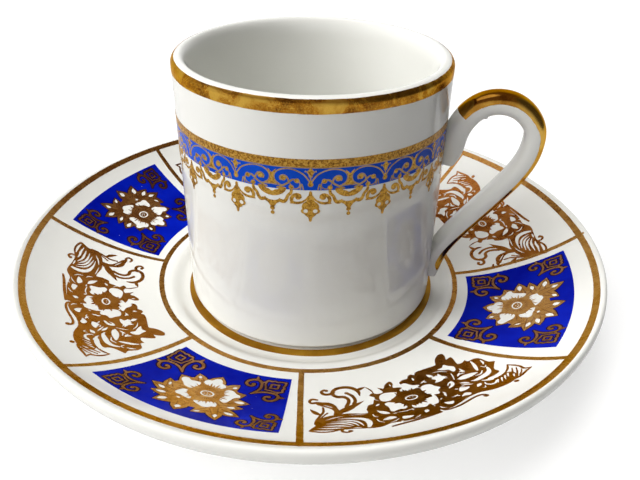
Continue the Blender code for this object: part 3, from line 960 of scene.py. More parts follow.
def make_spokes(gold):
    """Gold lines along the bowl, a little uneven as a brush leaves them."""
    for number, (inner, outer, past) in enumerate(SPOKES, 1):
        start = eased(INNER_LINE, inner)
        end = eased(RIM_LINE, outer) + past
        waver = Wander(100 + number, LINE_WANDER, (1, 2, 3, 5, 8))

        def place(u, v, depth):
            radius = start + (end - start) * v
            lean = v + SPOKE_SWAY * math.sin(math.pi * v) ** 2 - SPOKE_SAG * v * (1 - v)
            fade = 1.0 - SPOKE_FADE * max(0.0, (radius - end + past) / past)
            aside = (u - 0.5) * LINE_WIDTH * fade + waver(3 * v + 2 * u)
            degrees = inner + (outer - inner) * lean + math.degrees(aside / radius)
            return tuple(on_dish(np.array([radius]), degrees, depth)[0])

        name = f"spoke_{number}"
        spoke = strip(place, 2, SPOKE_STEPS, False)
        new_piece(name, spoke, (gold,), "saucer", "saucer_gold", "saucer_" + name)


def corner_ornament(paint, extra):
    """A scalloped shield round a diamond, with two scrolls and a long point along +Y, its lines widened."""
    half = Drawing()

    def line(*points):
        half.stroke(paint, [(x, y, width + extra) for x, y, width in points])

    line(
        (0.0, 4.7, 0.3), (0.22, 3.4, 0.5), (0.75, 2.3, 0.54), (1.6, 1.5, 0.54), (2.4, 1.08, 0.56),
        (3.3, 1.15, 0.58), (3.95, 2.1, 0.6), (3.8, 3.2, 0.58), (2.95, 3.65, 0.56), (2.25, 3.25, 0.54),
        (2.3, 2.65, 0.56),
    )
    half.disc(paint, (2.55, 2.6), 0.4 + extra / 2)
    half.leaf(paint, (3.3, 1.4), (4.4, 0.5), 0.6 + extra)
    line(
        (2.3, 1.0, 0.42), (2.1, 0.35, 0.46), (2.25, -0.3, 0.46), (1.7, -0.7, 0.46), (1.5, -1.2, 0.46),
        (0.95, -1.45, 0.46), (0.7, -1.9, 0.46), (0.35, -2.25, 0.46), (0.0, -2.6, 0.4),
    )
    line((2.1, 0.15, 0.34), (1.5, 0.85, 0.38), (0.75, 1.2, 0.38), (0.0, 1.75, 0.38))
    line(
        (0.0, 0.8, 0.42), (0.42, 0.32, 0.42), (0.86, -0.15, 0.42), (0.42, -0.62, 0.42),
        (0.0, -1.1, 0.42),
    )
    whole = Drawing()
    whole.place(half)
    whole.place(half, mirror=True)
    return whole


def rosette():
    """A flower in a ring of pointed leaves, drawn round the middle of its field."""
    drawing = Drawing()
    edge = (
        (-6.0, 4.7), (-4.4, 5.7), (-1.2, 5.1), (2.2, 5.9), (4.9, 5.2), (6.1, 3.0), (6.8, 0.6),
        (5.8, -1.6), (4.9, -3.6), (2.0, -4.8), (-1.5, -4.8), (-4.4, -3.7), (-5.5, -1.7), (-5.4, 0.8),
        (-6.1, 2.4),
    )
    leaves = (
        ((-3.6, 3.2), (-6.1, 7.3), 2.7), ((-3.4, 3.9), (-1.4, 6.7), 2.2), ((1.4, 4.2), (0.8, 7.8), 2.8),
        ((2.6, 3.4), (5.4, 6.7), 2.9), ((4.0, 3.2), (7.6, 3.9), 2.2), ((4.4, 2.3), (9.0, 1.4), 2.3),
        ((5.6, 1.6), (7.3, -1.4), 2.2), ((-4.4, 3.5), (-8.6, 4.15), 2.1), ((-4.0, 2.3), (-7.8, 1.1), 1.9),
        ((-3.8, 0.2), (-7.9, -0.9), 2.4), ((-2.4, -3.2), (-3.6, -6.0), 2.1),
        ((2.4, -3.2), (4.1, -5.7), 2.2), ((0.2, -3.6), (0.2, -6.8), 3.0), ((3.2, -1.4), (6.5, -3.6), 2.8),
        ((-3.2, -1.4), (-6.0, -3.5), 2.6),
    )
    for base, tip, width in leaves:
        start = np.array(base)
        end = np.array(tip)
        drawing.leaf(DARK, start, end + (end - start) * 0.06, width + 0.45, fullness=ROSETTE_LEAF)
    drawing.blob(GOLD, edge)
    for base, tip, width in leaves:
        drawing.leaf(GOLD, base, tip, width, fullness=ROSETTE_LEAF)
    for base, tip, width in leaves:
        start = np.array(base)
        end = np.array(tip)
        aside = np.array((start[1] - end[1], end[0] - start[0])) / math.dist(base, tip) * width
        for shift in (-0.24, 0.24):
            lean = aside * shift
            ways = [start + (end - start) * share + lean * (1.15 - share) for share in (0.1, 0.5, 0.86)]
            drawing.stroke(THIN, [(*way, 0.2) for way in ways], 3)
    for step in range(30):
        turn = 2 * math.pi * (step + 0.5) / 30
        ray = np.array((math.cos(turn), 0.8 * math.sin(turn)))
        ways = [ROSETTE_MIDDLE + ray * reach for reach in (3.6, 4.5, 5.4)]
        drawing.stroke(THIN, [(*way, width) for way, width in zip(ways, (0.12, 0.22, 0.08))], 2)
    whites = (
        ((-5.0, 5.2), (-5.5, 6.4), 0.7), ((-2.5, 5.5), (-1.6, 6.3), 0.6), ((1.2, 5.7), (0.95, 7.0), 0.95),
        ((4.0, 4.7), (5.1, 6.1), 0.95), ((5.1, 3.3), (6.9, 3.7), 0.75), ((6.1, 2.2), (7.7, 1.65), 0.65),
        ((-7.5, 4.0), (-5.6, 3.85), 0.75), ((-6.6, 1.5), (-5.1, 1.95), 0.65),
        ((-7.1, -0.75), (-5.2, -0.45), 0.8), ((-3.5, -5.1), (-3.0, -4.2), 0.6),
        ((3.2, -4.4), (3.8, -5.2), 0.6), ((2.4, 3.5), (3.2, 3.3), 0.5), ((6.2, 0.7), (6.6, -0.5), 0.4),
    )
    for base, tip, width in whites:
        drawing.leaf(CLEAR, base, tip, 1.1 * width)
    petals = (
        (
            (-3.6, 2.8), (-3.0, 3.1), (-2.6, 3.7), (-1.9, 3.95), (-1.2, 3.7), (-0.4, 3.4), (0.3, 2.8),
            (-0.4, 2.4), (-1.3, 2.1), (-2.4, 1.5), (-3.2, 1.8),
        ),
        (
            (1.2, 2.7), (2.0, 2.65), (3.0, 2.4), (3.7, 2.4), (4.25, 1.9), (4.1, 1.1), (3.8, 0.4),
            (3.0, 0.2), (2.8, 0.9), (2.2, 1.5), (1.3, 2.0),
        ),
        (
            (2.9, -0.8), (3.7, -0.7), (4.4, -1.0), (4.9, -1.6), (5.5, -2.1), (5.85, -2.7), (5.6, -3.3),
            (4.9, -3.4), (4.2, -3.0), (3.5, -3.2), (2.6, -3.2), (2.4, -2.2),
        ),
        (
            (-1.8, -3.7), (-1.4, -4.6), (-0.7, -4.9), (-0.35, -5.6), (0.2, -5.95), (0.85, -5.6),
            (1.2, -4.9), (1.9, -4.7), (2.1, -3.8), (1.4, -3.2), (-0.9, -3.2),
        ),
        (
            (-4.3, 0.5), (-3.4, 0.6), (-2.8, -0.4), (-3.0, -1.6), (-2.4, -2.4), (-2.6, -3.4),
            (-3.5, -3.6), (-4.3, -3.0), (-5.1, -2.75), (-5.35, -2.1), (-4.7, -1.6), (-4.5, -0.6),
        ),
    )
    for petal in petals:
        middle = np.mean(petal, axis=0)
        drawing.blob(CLEAR, middle + (np.array(petal) - middle) * 1.05)
    drawing.disc(GOLD, ROSETTE_MIDDLE, 2.45, 30)
    for step in range(34):
        turn = 2 * math.pi * step / 34
        way = np.array((math.cos(turn), math.sin(turn)))
        far = 3.2 + 0.5 * (step % 2)
        drawing.leaf(GOLD, ROSETTE_MIDDLE + way * 1.9, ROSETTE_MIDDLE + way * far, 0.3)
        drawing.leaf(THIN, ROSETTE_MIDDLE + way * 1.4, ROSETTE_MIDDLE + way * 2.3, 0.14)
    drawing.disc(CLEAR, ROSETTE_MIDDLE, 1.25, 18, 0.78)
    drawing.disc(GOLD, ROSETTE_MIDDLE, 0.92, 16, 0.74)
    for x, y in ((-0.75, -0.45), (-0.2, -0.75), (0.2, -0.35), (-0.35, -0.25)):
        drawing.disc(CLEAR, (x, y), 0.15, 7)
    return drawing


def panel_drawing():
    """A cobalt field with a rosette and four corner ornaments."""
    drawing = Drawing()
    outline = []
    for radius, ends in ((PANEL[1], (1, -1)), (PANEL[0], (-1, 1))):
        for turn in np.linspace(ends[0] * PANEL_TURN, ends[1] * PANEL_TURN, 25):
            outline.append((radius * math.sin(turn), radius * math.cos(turn) - FIELD_RADIUS))
    drawing.shape(BLUE, outline)
    for at, turn, scale in CORNER_PLACES:
        for paint, extra in ((DARK, 0.5), (THIN, -0.06)):
            drawing.place(corner_ornament(paint, extra), at, turn, scale)
    drawing.place(rosette())
    return drawing


def make_panels(enamel, gold, thin, dark):
    """The cobalt fields, each with the gold work on it."""
    flat, layers = panel_drawing().filled(*PANEL_GRID)
    for number, corners in enumerate(PANEL_CORNERS, 1):
        for name, paint, material, slot, nodes in (
            ("enamel", BLUE, enamel, "cobalt", (f"blue_panel_{number}",)),
            ("rosette", GOLD, gold, "saucer_gold", ()),
            ("corners", THIN, thin, "saucer_gold", ()),
            ("outlines", DARK, dark, "saucer_gold", ()),
        ):
            layer = slab(flat, layers[paint], on_field(corners))
            new_piece(f"panel_{name}_{number}", layer, (material,), "saucer", slot, *nodes)


def spray_drawing():
    """A flower in a spray of leaf scrolls, drawn round the flower's middle."""
    art = Drawing()

    # Left leaf, its veins and the fronds under it
    art.blob(GOLD, [
        (-16.8, 5.75), (-15.4, 6.25), (-14.0, 6.5), (-12.4, 6.45), (-11.0, 6.1), (-9.8, 5.6), (-8.4, 5.5),
        (-6.6, 5.8), (-5.0, 6.4), (-3.2, 6.9), (-1.6, 6.6), (-0.8, 5.6), (-1.0, 4.4), (-2.6, 4.1),
        (-3.4, 2.6), (-3.6, 1.2), (-3.2, -1.4), (-2.2, -3.0), (-0.6, -4.8), (-0.9, -5.5), (-1.7, -5.8),
        (-2.5, -5.7), (-3.0, -6.4), (-3.7, -6.6), (-4.2, -6.1), (-4.6, -6.7), (-5.6, -6.9), (-7.4, -6.9),
        (-9.0, -6.9), (-9.4, -7.6), (-10.0, -8.6), (-11.2, -9.55), (-12.1, -9.4), (-12.0, -8.3),
        (-11.6, -7.4), (-12.4, -7.7), (-12.85, -7.5), (-12.7, -6.2), (-12.5, -5.0), (-13.5, -4.95),
        (-14.2, -5.4), (-14.4, -4.7), (-15.2, -4.75), (-16.0, -4.75), (-16.7, -4.0), (-16.9, -2.7),
        (-17.2, -2.1), (-17.9, -1.7), (-17.5, -1.2), (-16.7, -0.3), (-16.1, 0.7), (-16.3, 1.5),
        (-15.9, 2.0), (-14.6, 2.3), (-13.4, 2.4), (-13.0, 3.1), (-14.2, 3.5), (-15.6, 3.3), (-16.6, 3.0),
        (-17.4, 3.5), (-17.4, 4.6),
    ], 2)
    art.ink((-20.2, 4.75, 0.2), (-19.0, 5.1, 0.45), (-17.5, 5.7, 0.45), (-16.4, 5.9, 0.5))
    art.ink(
        (-20.0, 4.7, 0.3), (-19.3, 4.1, 0.45), (-19.4, 3.0, 0.45), (-19.1, 2.0, 0.4),
        (-18.45, 0.95, 0.25),
    )
    art.ink(
        (-18.45, 0.95, 0.25), (-17.8, 1.9, 0.4), (-17.1, 2.5, 0.4), (-16.0, 3.0, 0.4), (-14.0, 3.4, 0.3),
    )
    art.ink((-18.7, 2.9, 0.2), (-18.0, 4.0, 0.3), (-17.0, 5.2, 0.4))
    art.ink((-18.2, 2.5, 0.2), (-17.4, 3.6, 0.35), (-16.2, 5.0, 0.4))
    art.ink((-18.9, 3.9, 0.15), (-18.4, 4.6, 0.25), (-17.4, 5.4, 0.3))
    notches = ((-16.6, 3.4, 1.1), (-15.8, 3.7, 1.2), (-15.0, 3.9, 1.2), (-14.2, 3.95, 1.0), (-17.0, 4.4, 0.8))
    for x, y, run in notches:
        middle = (x + 0.35 * run, y + 0.5 * run, 0.24)
        art.stroke(CLEAR, [(x, y, 0.3), middle, (x + 0.62 * run, y + run, 0.1)], 3)
    art.cut(
        (-13.9, 4.0, 0.3), (-13.3, 4.55, 0.45), (-12.5, 4.5, 0.45), (-12.05, 3.8, 0.35),
        (-12.2, 3.2, 0.2),
    )
    art.cut(
        (-16.7, 2.35, 0.5), (-15.4, 2.75, 0.7), (-14.0, 2.85, 0.75), (-12.8, 2.75, 0.45),
        (-12.3, 2.3, 0.2),
    )
    art.cut(
        (-15.7, -0.9, 0.35), (-15.3, 0.2, 0.7), (-14.4, 0.95, 0.95), (-12.9, 1.35, 0.95),
        (-11.6, 1.5, 0.6), (-11.0, 1.2, 0.2),
    )
    art.cut((-14.4, -0.5, 0.2), (-13.6, 0.25, 0.3), (-12.5, 0.2, 0.16))
    art.cut(
        (-13.3, -0.55, 0.4), (-12.4, -0.6, 1.0), (-11.2, -0.6, 1.35), (-10.2, -0.6, 1.0),
        (-9.7, -0.75, 0.3),
    )
    art.cut((-14.75, -4.3, 0.3), (-14.6, -3.2, 0.6), (-14.2, -2.0, 0.65), (-13.9, -1.1, 0.3))
    art.cut((-16.3, -3.6, 0.2), (-16.2, -2.8, 0.4), (-15.9, -2.2, 0.2))
    art.cut((-16.0, -1.6, 0.15), (-15.5, -1.2, 0.25), (-15.1, -1.8, 0.15))
    art.leaf(CLEAR, (-12.2, -2.2), (-11.2, -2.9), 0.55)
    art.leaf(CLEAR, (-11.9, -1.75), (-10.2, -1.75), 0.3, -0.2)
    art.hole(
        (-11.5, -4.8), (-11.2, -3.7), (-10.5, -3.3), (-10.2, -4.3), (-9.4, -4.7), (-8.5, -5.5),
        (-9.6, -5.6), (-10.3, -6.3), (-10.8, -5.5),
    )
    art.cut((-9.8, -3.1, 0.12), (-9.5, -2.0, 0.25), (-9.05, -0.9, 0.12))
    art.cut((-9.6, -3.9, 0.1), (-8.6, -4.75, 0.25), (-7.3, -5.1, 0.1))
    art.hole(
        (-8.7, -2.1), (-7.9, -2.3), (-7.0, -1.9), (-5.9, -2.0), (-6.5, -2.7), (-6.0, -3.5), (-6.9, -3.5),
        (-7.2, -4.0), (-7.7, -3.4), (-8.4, -3.1), (-8.1, -2.7),
    )
    art.leaf(CLEAR, (-6.7, -3.9), (-6.0, -5.2), 0.8, 0.1)
    art.leaf(CLEAR, (-3.2, -4.6), (-3.4, -5.6), 0.4)
    art.leaf(CLEAR, (-4.9, -3.0), (-4.2, -3.5), 0.35)
    art.hole((-9.6, 2.7), (-8.7, 3.25), (-7.5, 3.1), (-7.7, 2.4), (-8.2, 1.9), (-8.9, 1.6), (-9.2, 2.1))
    art.ink((-9.7, 2.45, 0.2), (-8.9, 2.1, 0.22), (-8.3, 1.7, 0.12))
    art.leaf(CLEAR, (-10.4, 1.7), (-9.0, 0.5), 0.6, -0.1)
    art.leaf(CLEAR, (-11.6, 2.9), (-10.4, 3.7), 0.75)
    art.cut((-11.6, 4.1, 0.12), (-11.2, 4.7, 0.25), (-10.8, 4.4, 0.12))
    art.leaf(CLEAR, (-8.4, -0.9), (-6.7, 1.1), 1.2, 0.1)
    art.ink((-7.7, -0.2, 0.3), (-7.3, 0.2, 0.35), (-6.8, 0.6, 0.15))
    art.hole((-8.5, 4.6), (-8.0, 5.15), (-7.2, 4.85), (-6.6, 4.7), (-7.2, 4.2), (-7.9, 3.95))
    art.leaf(CLEAR, (-5.2, 1.8), (-4.8, 3.1), 0.4)
    art.cut((-6.6, 3.6, 0.12), (-5.9, 4.0, 0.25), (-5.2, 3.8, 0.1))
    art.hole((-4.8, 5.1), (-4.1, 5.95), (-3.4, 5.5), (-3.3, 4.6), (-4.0, 4.85))
    art.cut((-2.6, 6.4, 0.12), (-2.1, 6.0, 0.3), (-2.0, 5.3, 0.12))
    art.leaf(CLEAR, (-1.6, 4.4), (-0.5, 5.4), 0.6)

    # Middle right: the top edge, the leaves round the flower and the root of the feather
    art.blob(GOLD, [
        (-1.2, 6.9), (1.0, 6.9), (3.6, 6.8), (5.6, 6.4), (7.0, 6.0), (8.2, 6.2), (9.2, 6.4), (10.4, 6.15),
        (11.6, 5.6), (13.0, 5.0), (14.2, 4.6), (15.2, 4.5), (16.6, 4.6), (18.0, 4.3), (19.2, 3.6),
        (19.9, 2.9), (19.2, 2.2), (18.2, 1.5), (17.8, 0.6), (16.8, -0.3), (15.6, -0.8), (14.2, -0.8),
        (12.6, -0.6), (11.2, -0.2), (10.0, 0.5), (8.7, 1.0), (8.4, -0.1), (7.4, -1.35), (6.6, -1.3),
        (6.0, -2.2), (5.3, -3.2), (5.9, -4.0), (5.1, -4.5), (4.4, -3.9), (3.2, -4.0), (3.5, -5.7),
        (2.7, -4.9), (2.2, -5.6), (1.3, -6.3), (0.6, -6.4), (0.5, -5.5), (1.1, -4.4), (-0.4, -3.6),
        (-1.6, 0.0), (-1.4, 3.6),
    ], 2)
    art.ink((-1.0, 7.2, 0.5), (2.4, 7.25, 0.55), (5.6, 7.15, 0.5), (7.7, 7.2, 0.35))
    art.ink((4.9, -4.3, 0.15), (4.85, -5.4, 0.3), (5.2, -6.7, 0.15))
    art.leaf(CLEAR, (0.1, 5.0), (0.9, 5.9), 0.8)
    art.hole((2.9, 5.6), (3.8, 5.95), (4.9, 5.7), (4.6, 4.9), (3.9, 5.0))
    art.cut((1.9, 5.9, 0.1), (2.5, 6.3, 0.22), (3.3, 6.5, 0.1))
    art.cut((5.3, 5.15, 0.12), (6.2, 5.6, 0.24), (7.3, 5.8, 0.1))
    art.cut((5.2, 6.2, 0.14), (6.0, 6.55, 0.34), (7.0, 6.5, 0.12))
    art.hole((5.4, 4.6), (6.3, 4.85), (7.8, 4.4), (7.0, 3.9), (6.0, 3.85))
    art.leaf(CLEAR, (5.6, 2.9), (7.1, 0.8), 0.95, 0.2)
    art.cut((2.0, 3.4, 0.1), (3.2, 3.5, 0.25), (4.6, 3.1, 0.1))
    art.cut((8.0, 5.2, 0.14), (8.5, 4.4, 0.28), (8.4, 3.5, 0.14))
    art.cut((7.9, 3.0, 0.14), (8.3, 2.4, 0.3), (8.2, 1.7, 0.14))
    art.leaf(CLEAR, (5.6, -0.9), (6.6, -0.4), 0.45)
    art.leaf(CLEAR, (1.2, -5.0), (1.1, -5.8), 0.28)
    art.cut((5.2, -1.9, 0.1), (5.6, -2.5, 0.2), (5.5, -3.1, 0.1))

    # Feather
    art.cut(
        (10.75, 5.35, 0.55), (10.1, 4.3, 0.95), (10.0, 3.1, 0.95), (10.7, 2.1, 0.75), (12.2, 1.2, 0.35),
        (14.0, 0.6, 0.12),
    )
    ribs = (
        ((11.3, 4.6), (11.4, 3.2), (12.2, 2.1), (14.2, 0.95)),
        ((12.0, 4.3), (12.2, 3.2), (13.1, 2.2), (15.4, 1.1)),
        ((12.7, 3.9), (13.2, 3.0), (14.3, 2.2), (16.4, 1.5)),
        ((13.2, 4.1), (14.2, 3.2), (15.4, 2.7), (17.2, 2.1)),
        ((14.5, 4.0), (15.5, 3.5), (16.6, 3.2), (18.2, 2.4)),
        ((16.2, 4.15), (17.2, 3.9), (18.2, 3.5), (19.2, 2.9)),
    )
    for rib in ribs:
        widths = (0.16, 0.42, 0.42, 0.12)
        art.stroke(CLEAR, [(x, y, width) for (x, y), width in zip(rib, widths)])
    art.cut((11.8, 5.1, 0.12), (12.5, 4.85, 0.3), (13.2, 4.6, 0.12))
    art.cut((9.2, 1.2, 0.1), (10.4, 0.7, 0.2), (11.8, 0.2, 0.1))
    art.cut((12.8, 0.1, 0.1), (14.4, 0.05, 0.25), (16.0, 0.3, 0.1))
    art.ink((14.9, 4.4, 0.5), (15.2, 5.1, 0.5), (14.6, 5.7, 0.45), (13.8, 5.55, 0.4))
    art.disc(GOLD, (14.05, 5.4), 0.33)
    art.ink(
        (-9.5, 6.85, 0.5), (-9.0, 6.4, 0.5), (-8.0, 6.33, 0.45), (-6.4, 6.7, 0.45), (-4.6, 7.15, 0.45),
        (-3.0, 7.25, 0.45), (-1.9, 6.95, 0.4), (-1.6, 6.2, 0.3),
    )
    art.disc(GOLD, (-9.4, 7.2), 0.45)
    art.disc(GOLD, (-15.6, 6.75), 0.42)

    # Stems, hooks and small leaves
    art.leaf(GOLD, (13.0, -1.2), (9.7, -1.65), 0.95, 0.05)
    art.leaf(GOLD, (13.2, -1.5), (7.4, -3.0), 1.1, -0.15)
    art.blob(GOLD, [
        (12.3, -0.8), (14.0, -0.7), (13.4, -2.0), (13.7, -3.2), (14.6, -4.3), (15.2, -5.2), (15.0, -6.0),
        (14.1, -5.5), (13.0, -4.9), (12.4, -3.7), (12.5, -2.0),
    ])
    art.leaf(CLEAR, (13.0, -3.0), (14.4, -4.9), 0.25)
    art.ink((9.4, -2.8, 0.65), (8.7, -3.7, 0.59), (8.5, -5.2, 0.59), (9.0, -6.5, 0.59))
    art.disc(GOLD, (9.1, -6.55), 0.3)
    art.ink(
        (10.9, -2.6, 0.65), (10.0, -3.6, 0.65), (9.6, -4.7, 0.65), (10.0, -5.6, 0.72), (10.9, -6.0, 0.72),
        (11.35, -6.8, 0.72), (11.1, -7.8, 0.72), (10.2, -8.4, 0.72), (9.0, -8.4, 0.72), (7.9, -7.9, 0.78),
        (7.2, -7.0, 0.78), (7.0, -5.9, 0.65), (7.3, -4.9, 0.26),
    )
    art.leaf(GOLD, (7.4, -6.5), (5.2, -6.9), 0.7)
    art.ink(
        (11.0, -7.6, 0.59), (12.0, -7.35, 0.65), (12.8, -7.8, 0.65), (12.85, -8.6, 0.59),
        (12.2, -8.9, 0.52),
    )
    art.disc(GOLD, (11.95, -8.6), 0.34)
    art.ink(
        (14.9, -5.7, 0.59), (15.8, -5.9, 0.52), (15.9, -6.6, 0.52), (15.2, -7.0, 0.52),
        (14.5, -6.5, 0.39),
    )
    art.ink(
        (17.9, 0.9, 0.52), (17.3, -0.2, 0.44), (16.1, -1.5, 0.44), (15.1, -2.5, 0.44), (14.6, -3.8, 0.39),
    )
    art.ink((17.2, 0.2, 0.39), (15.8, -1.1, 0.31), (14.6, -1.9, 0.31))
    art.leaf(GOLD, (15.9, -1.6), (16.8, -4.2), 0.85, 0.15)

    # Slits that open the darker places
    slits = (
        ((-10.1, -1.5), (-11.2, -2.5), 0.4), ((-11.9, -2.2), (-11.8, -3.7), 0.4),
        ((-6.2, -3.8), (-8.8, -2.5), 1.0), ((-7.4, -2.0), (-7.9, -4.4), 0.9),
        ((-10.7, 2.4), (-8.7, 1.1), 0.35), ((-6.7, 4.3), (-5.8, 3.6), 0.4),
        ((-5.4, 2.2), (-5.1, 1.3), 0.35), ((-7.8, 2.2), (-7.1, 1.7), 0.3),
        ((-4.9, -3.7), (-3.6, -3.1), 0.3), ((-3.9, 3.0), (-3.4, 3.5), 0.25),
        ((1.8, 3.9), (2.1, 3.2), 0.35), ((4.6, 3.3), (5.4, 3.1), 0.3),
    )
    for base, tip, width in slits:
        art.leaf(CLEAR, base, tip, width)

    # Flower
    art.disc(GOLD, (0.0, 0.0), 3.4, 30)
    petals = (
        (
            (-3.35, 2.0), (-2.8, 3.7), (-1.9, 4.0), (-1.2, 3.6), (-0.3, 4.05), (0.7, 3.7), (1.45, 3.2),
            (1.2, 2.2), (-0.6, 2.0), (-2.4, 1.6),
        ),
        (
            (2.1, 2.2), (2.9, 2.75), (3.6, 2.4), (4.7, 2.6), (5.15, 2.2), (4.8, 0.9), (4.95, -0.3),
            (4.1, -0.65), (3.2, 0.0), (2.4, 0.8),
        ),
        (
            (1.3, -2.8), (1.9, -1.9), (2.8, -1.3), (3.7, -0.95), (4.6, -1.2), (4.9, -1.9), (4.5, -3.0),
            (3.6, -3.6), (2.4, -3.4),
        ),
        (
            (-3.3, -2.9), (-2.3, -2.3), (-1.2, -2.2), (0.0, -2.1), (0.55, -3.1), (-0.2, -3.6),
            (-0.7, -4.7), (-1.5, -4.6), (-2.2, -3.5),
        ),
        (
            (-5.8, -0.2), (-5.0, 0.35), (-4.7, 1.35), (-4.0, 1.4), (-3.0, 0.9), (-2.7, -0.6),
            (-2.8, -1.7), (-3.5, -2.35), (-4.8, -2.25), (-5.3, -1.2),
        ),
    )
    for petal in petals:
        art.blob(CLEAR, petal)
    for turn in (75, 112, 5, 40, -25, -60, -90, -118, 165, 195):
        way = (math.cos(math.radians(turn)), math.sin(math.radians(turn)))
        art.leaf(GOLD, (way[0] * 2.3, way[1] * 2.0), (way[0] * 3.5, way[1] * 3.1), 0.4)
    art.toothed(GOLD, (0.0, 0.0), 2.3, 0.45, 24)
    art.disc(CLEAR, (0.0, 0.0), 1.2, 18, 0.68)
    art.disc(GOLD, (0.0, 0.0), 0.9, 16, 0.58)
    art.disc(CLEAR, (-0.3, -0.1), 0.13, 6)
    art.disc(CLEAR, (0.25, -0.15), 0.13, 6)
    return art


def make_sprays(gold):
    """The leaf sprays in the four white fields."""
    flat, layers = spray_drawing().filled(*SPRAY_GRID)
    for number, (degrees, radius) in enumerate(SPRAY_PLACES, 1):
        layer = slab(flat, layers[GOLD], on_bowl(degrees, radius))
        new_piece(f"leaf_spray_{number}", layer, (gold,), "saucer", "saucer_gold")


def frieze_half():
    """Half a repeat of the frieze: from the middle of a large pendant to the middle of a small one."""
    end = HALF_UNIT
    art = Drawing()

    def bead(x, y, radius):
        art.disc(THIN, (x, y), radius + BEAD_RIM)
        art.disc(GOLD, (x, y), radius)

    def line(width, *points):
        art.stroke(THIN, [(x, y, width) for x, y in points])

    # The post between two scrolls, and the outline of the scroll's blue body
    art.blob(GOLD, [
        (end + 0.5, 42.6), (end - 0.3, 42.75), (end - 0.36, 42.1), (end - 0.5, 41.55),
        (end - 0.85, 41.15), (end - 1.3, 40.85), (end - 0.7, 40.78), (end + 0.5, 40.9),
    ])
    line(
        0.24, (0.2, 41.4), (0.5, 41.95), (1.15, 42.75), (2.2, 43.35), (3.45, 43.66), (4.7, 43.5),
        (5.5, 43.02), (5.93, 42.3), (5.8, 41.45), (5.3, 40.85), (4.6, 40.5),
    )
    line(0.2, (end - 1.5, 40.68), (end - 0.7, 40.64), (end + 0.2, 40.72))
    art.leaf(GOLD, (end, 42.6), (end - 0.75, 43.5), 0.3, 0.08)

    # The stem inside it with its two buds
    line(0.34, (5.4, 40.1), (4.6, 40.5), (3.8, 40.98), (3.3, 41.45), (2.85, 41.75), (2.4, 41.68))
    line(0.3, (3.5, 41.3), (3.65, 41.85), (4.0, 42.3), (4.5, 42.42), (4.92, 42.05), (4.85, 41.6))
    bead(4.4, 41.92, 0.36)
    bead(2.2, 41.55, 0.32)
    line(0.2, (1.8, 41.35), (1.68, 40.8), (1.95, 40.28), (2.5, 40.08), (3.0, 40.35), (3.3, 41.0))
    line(0.2, (1.15, 39.95), (1.42, 41.0), (1.66, 39.95))

    # The bud in the middle
    line(0.18, (0.0, 42.7), (0.0, 41.6))
    art.blob(THIN, [
        (-0.3, 43.6), (0.0, 43.88), (0.4, 43.5), (0.66, 43.2), (0.42, 42.85), (0.16, 42.4), (-0.3, 42.3),
    ])
    art.blob(GOLD, [
        (-0.3, 43.5), (0.0, 43.75), (0.28, 43.42), (0.5, 43.2), (0.3, 42.95), (0.05, 42.55), (-0.3, 42.5),
    ])
    art.disc(THIN, (0.82, 43.3), 0.16, 8)
    bead(0.0, 40.95, 0.34)
    art.shape(GOLD, [(-0.1, 41.7), (0.12, 41.7), (0.24, 41.1), (-0.1, 41.1)])

    # Large pendant and its arms
    art.blob(GOLD, [
        (-0.3, 39.0), (0.0, 39.7), (0.2, 39.2), (0.36, 38.75), (0.62, 38.25), (0.95, 37.7), (1.3, 37.2),
        (1.42, 36.75), (1.36, 36.4), (1.58, 36.0), (1.42, 35.6), (1.02, 35.38), (0.75, 35.05),
        (0.42, 34.8), (0.22, 34.4), (0.0, 33.9), (-0.3, 34.6),
    ])
    art.disc(CLEAR, (0.78, 35.95), 0.38, 12)
    art.ink(
        (0.3, 38.75, 0.3), (0.75, 38.08, 0.36), (1.4, 37.64, 0.42), (2.2, 37.44, 0.45),
        (2.95, 37.52, 0.46),
    )
    art.cut((0.62, 38.0, 0.1), (1.0, 37.62, 0.13), (1.5, 37.3, 0.1))
    art.ink(
        (3.05, 37.6, 0.5), (3.08, 38.2, 0.6), (2.75, 38.78, 0.58), (2.2, 39.08, 0.48), (1.72, 38.9, 0.42),
        (1.62, 38.5, 0.4),
    )
    art.disc(GOLD, (2.02, 38.55), 0.48)
    art.leaf(GOLD, (2.5, 37.6), (3.45, 37.32), 0.42)

    # Chain, crescent and small pendant
    art.ink((3.1, 40.2, 0.42), (3.1, 39.65, 0.46), (3.25, 39.15, 0.52), (3.62, 38.8, 0.44))
    art.ink(
        (3.42, 39.15, 0.3), (3.72, 38.65, 0.5), (3.92, 38.05, 0.56), (4.28, 37.6, 0.62),
        (4.75, 37.56, 0.56), (5.05, 37.9, 0.36),
    )
    art.ink((4.7, 37.78, 0.36), (5.2, 37.6, 0.52), (5.7, 37.36, 0.58), (end + 0.3, 37.28, 0.62))
    bead(3.12, 40.35, 0.3)
    art.blob(GOLD, [
        (3.98, 40.2), (4.12, 39.5), (4.68, 38.98), (5.38, 38.62), (end, 38.48), (6.9, 38.5), (6.9, 39.6),
        (end, 39.32), (5.78, 39.6), (5.28, 39.76), (5.0, 40.2),
    ])
    art.blob(GOLD, [
        (end - 0.75, 37.3), (end - 0.55, 36.8), (end - 0.32, 36.4), (end - 0.4, 36.0), (end, 35.72),
        (end + 0.6, 36.3), (end + 0.6, 37.4),
    ])
    art.disc(GOLD, (end, 35.22), 0.34)
    art.ink((end, 35.8, 0.14), (end, 35.3, 0.14))
    return art


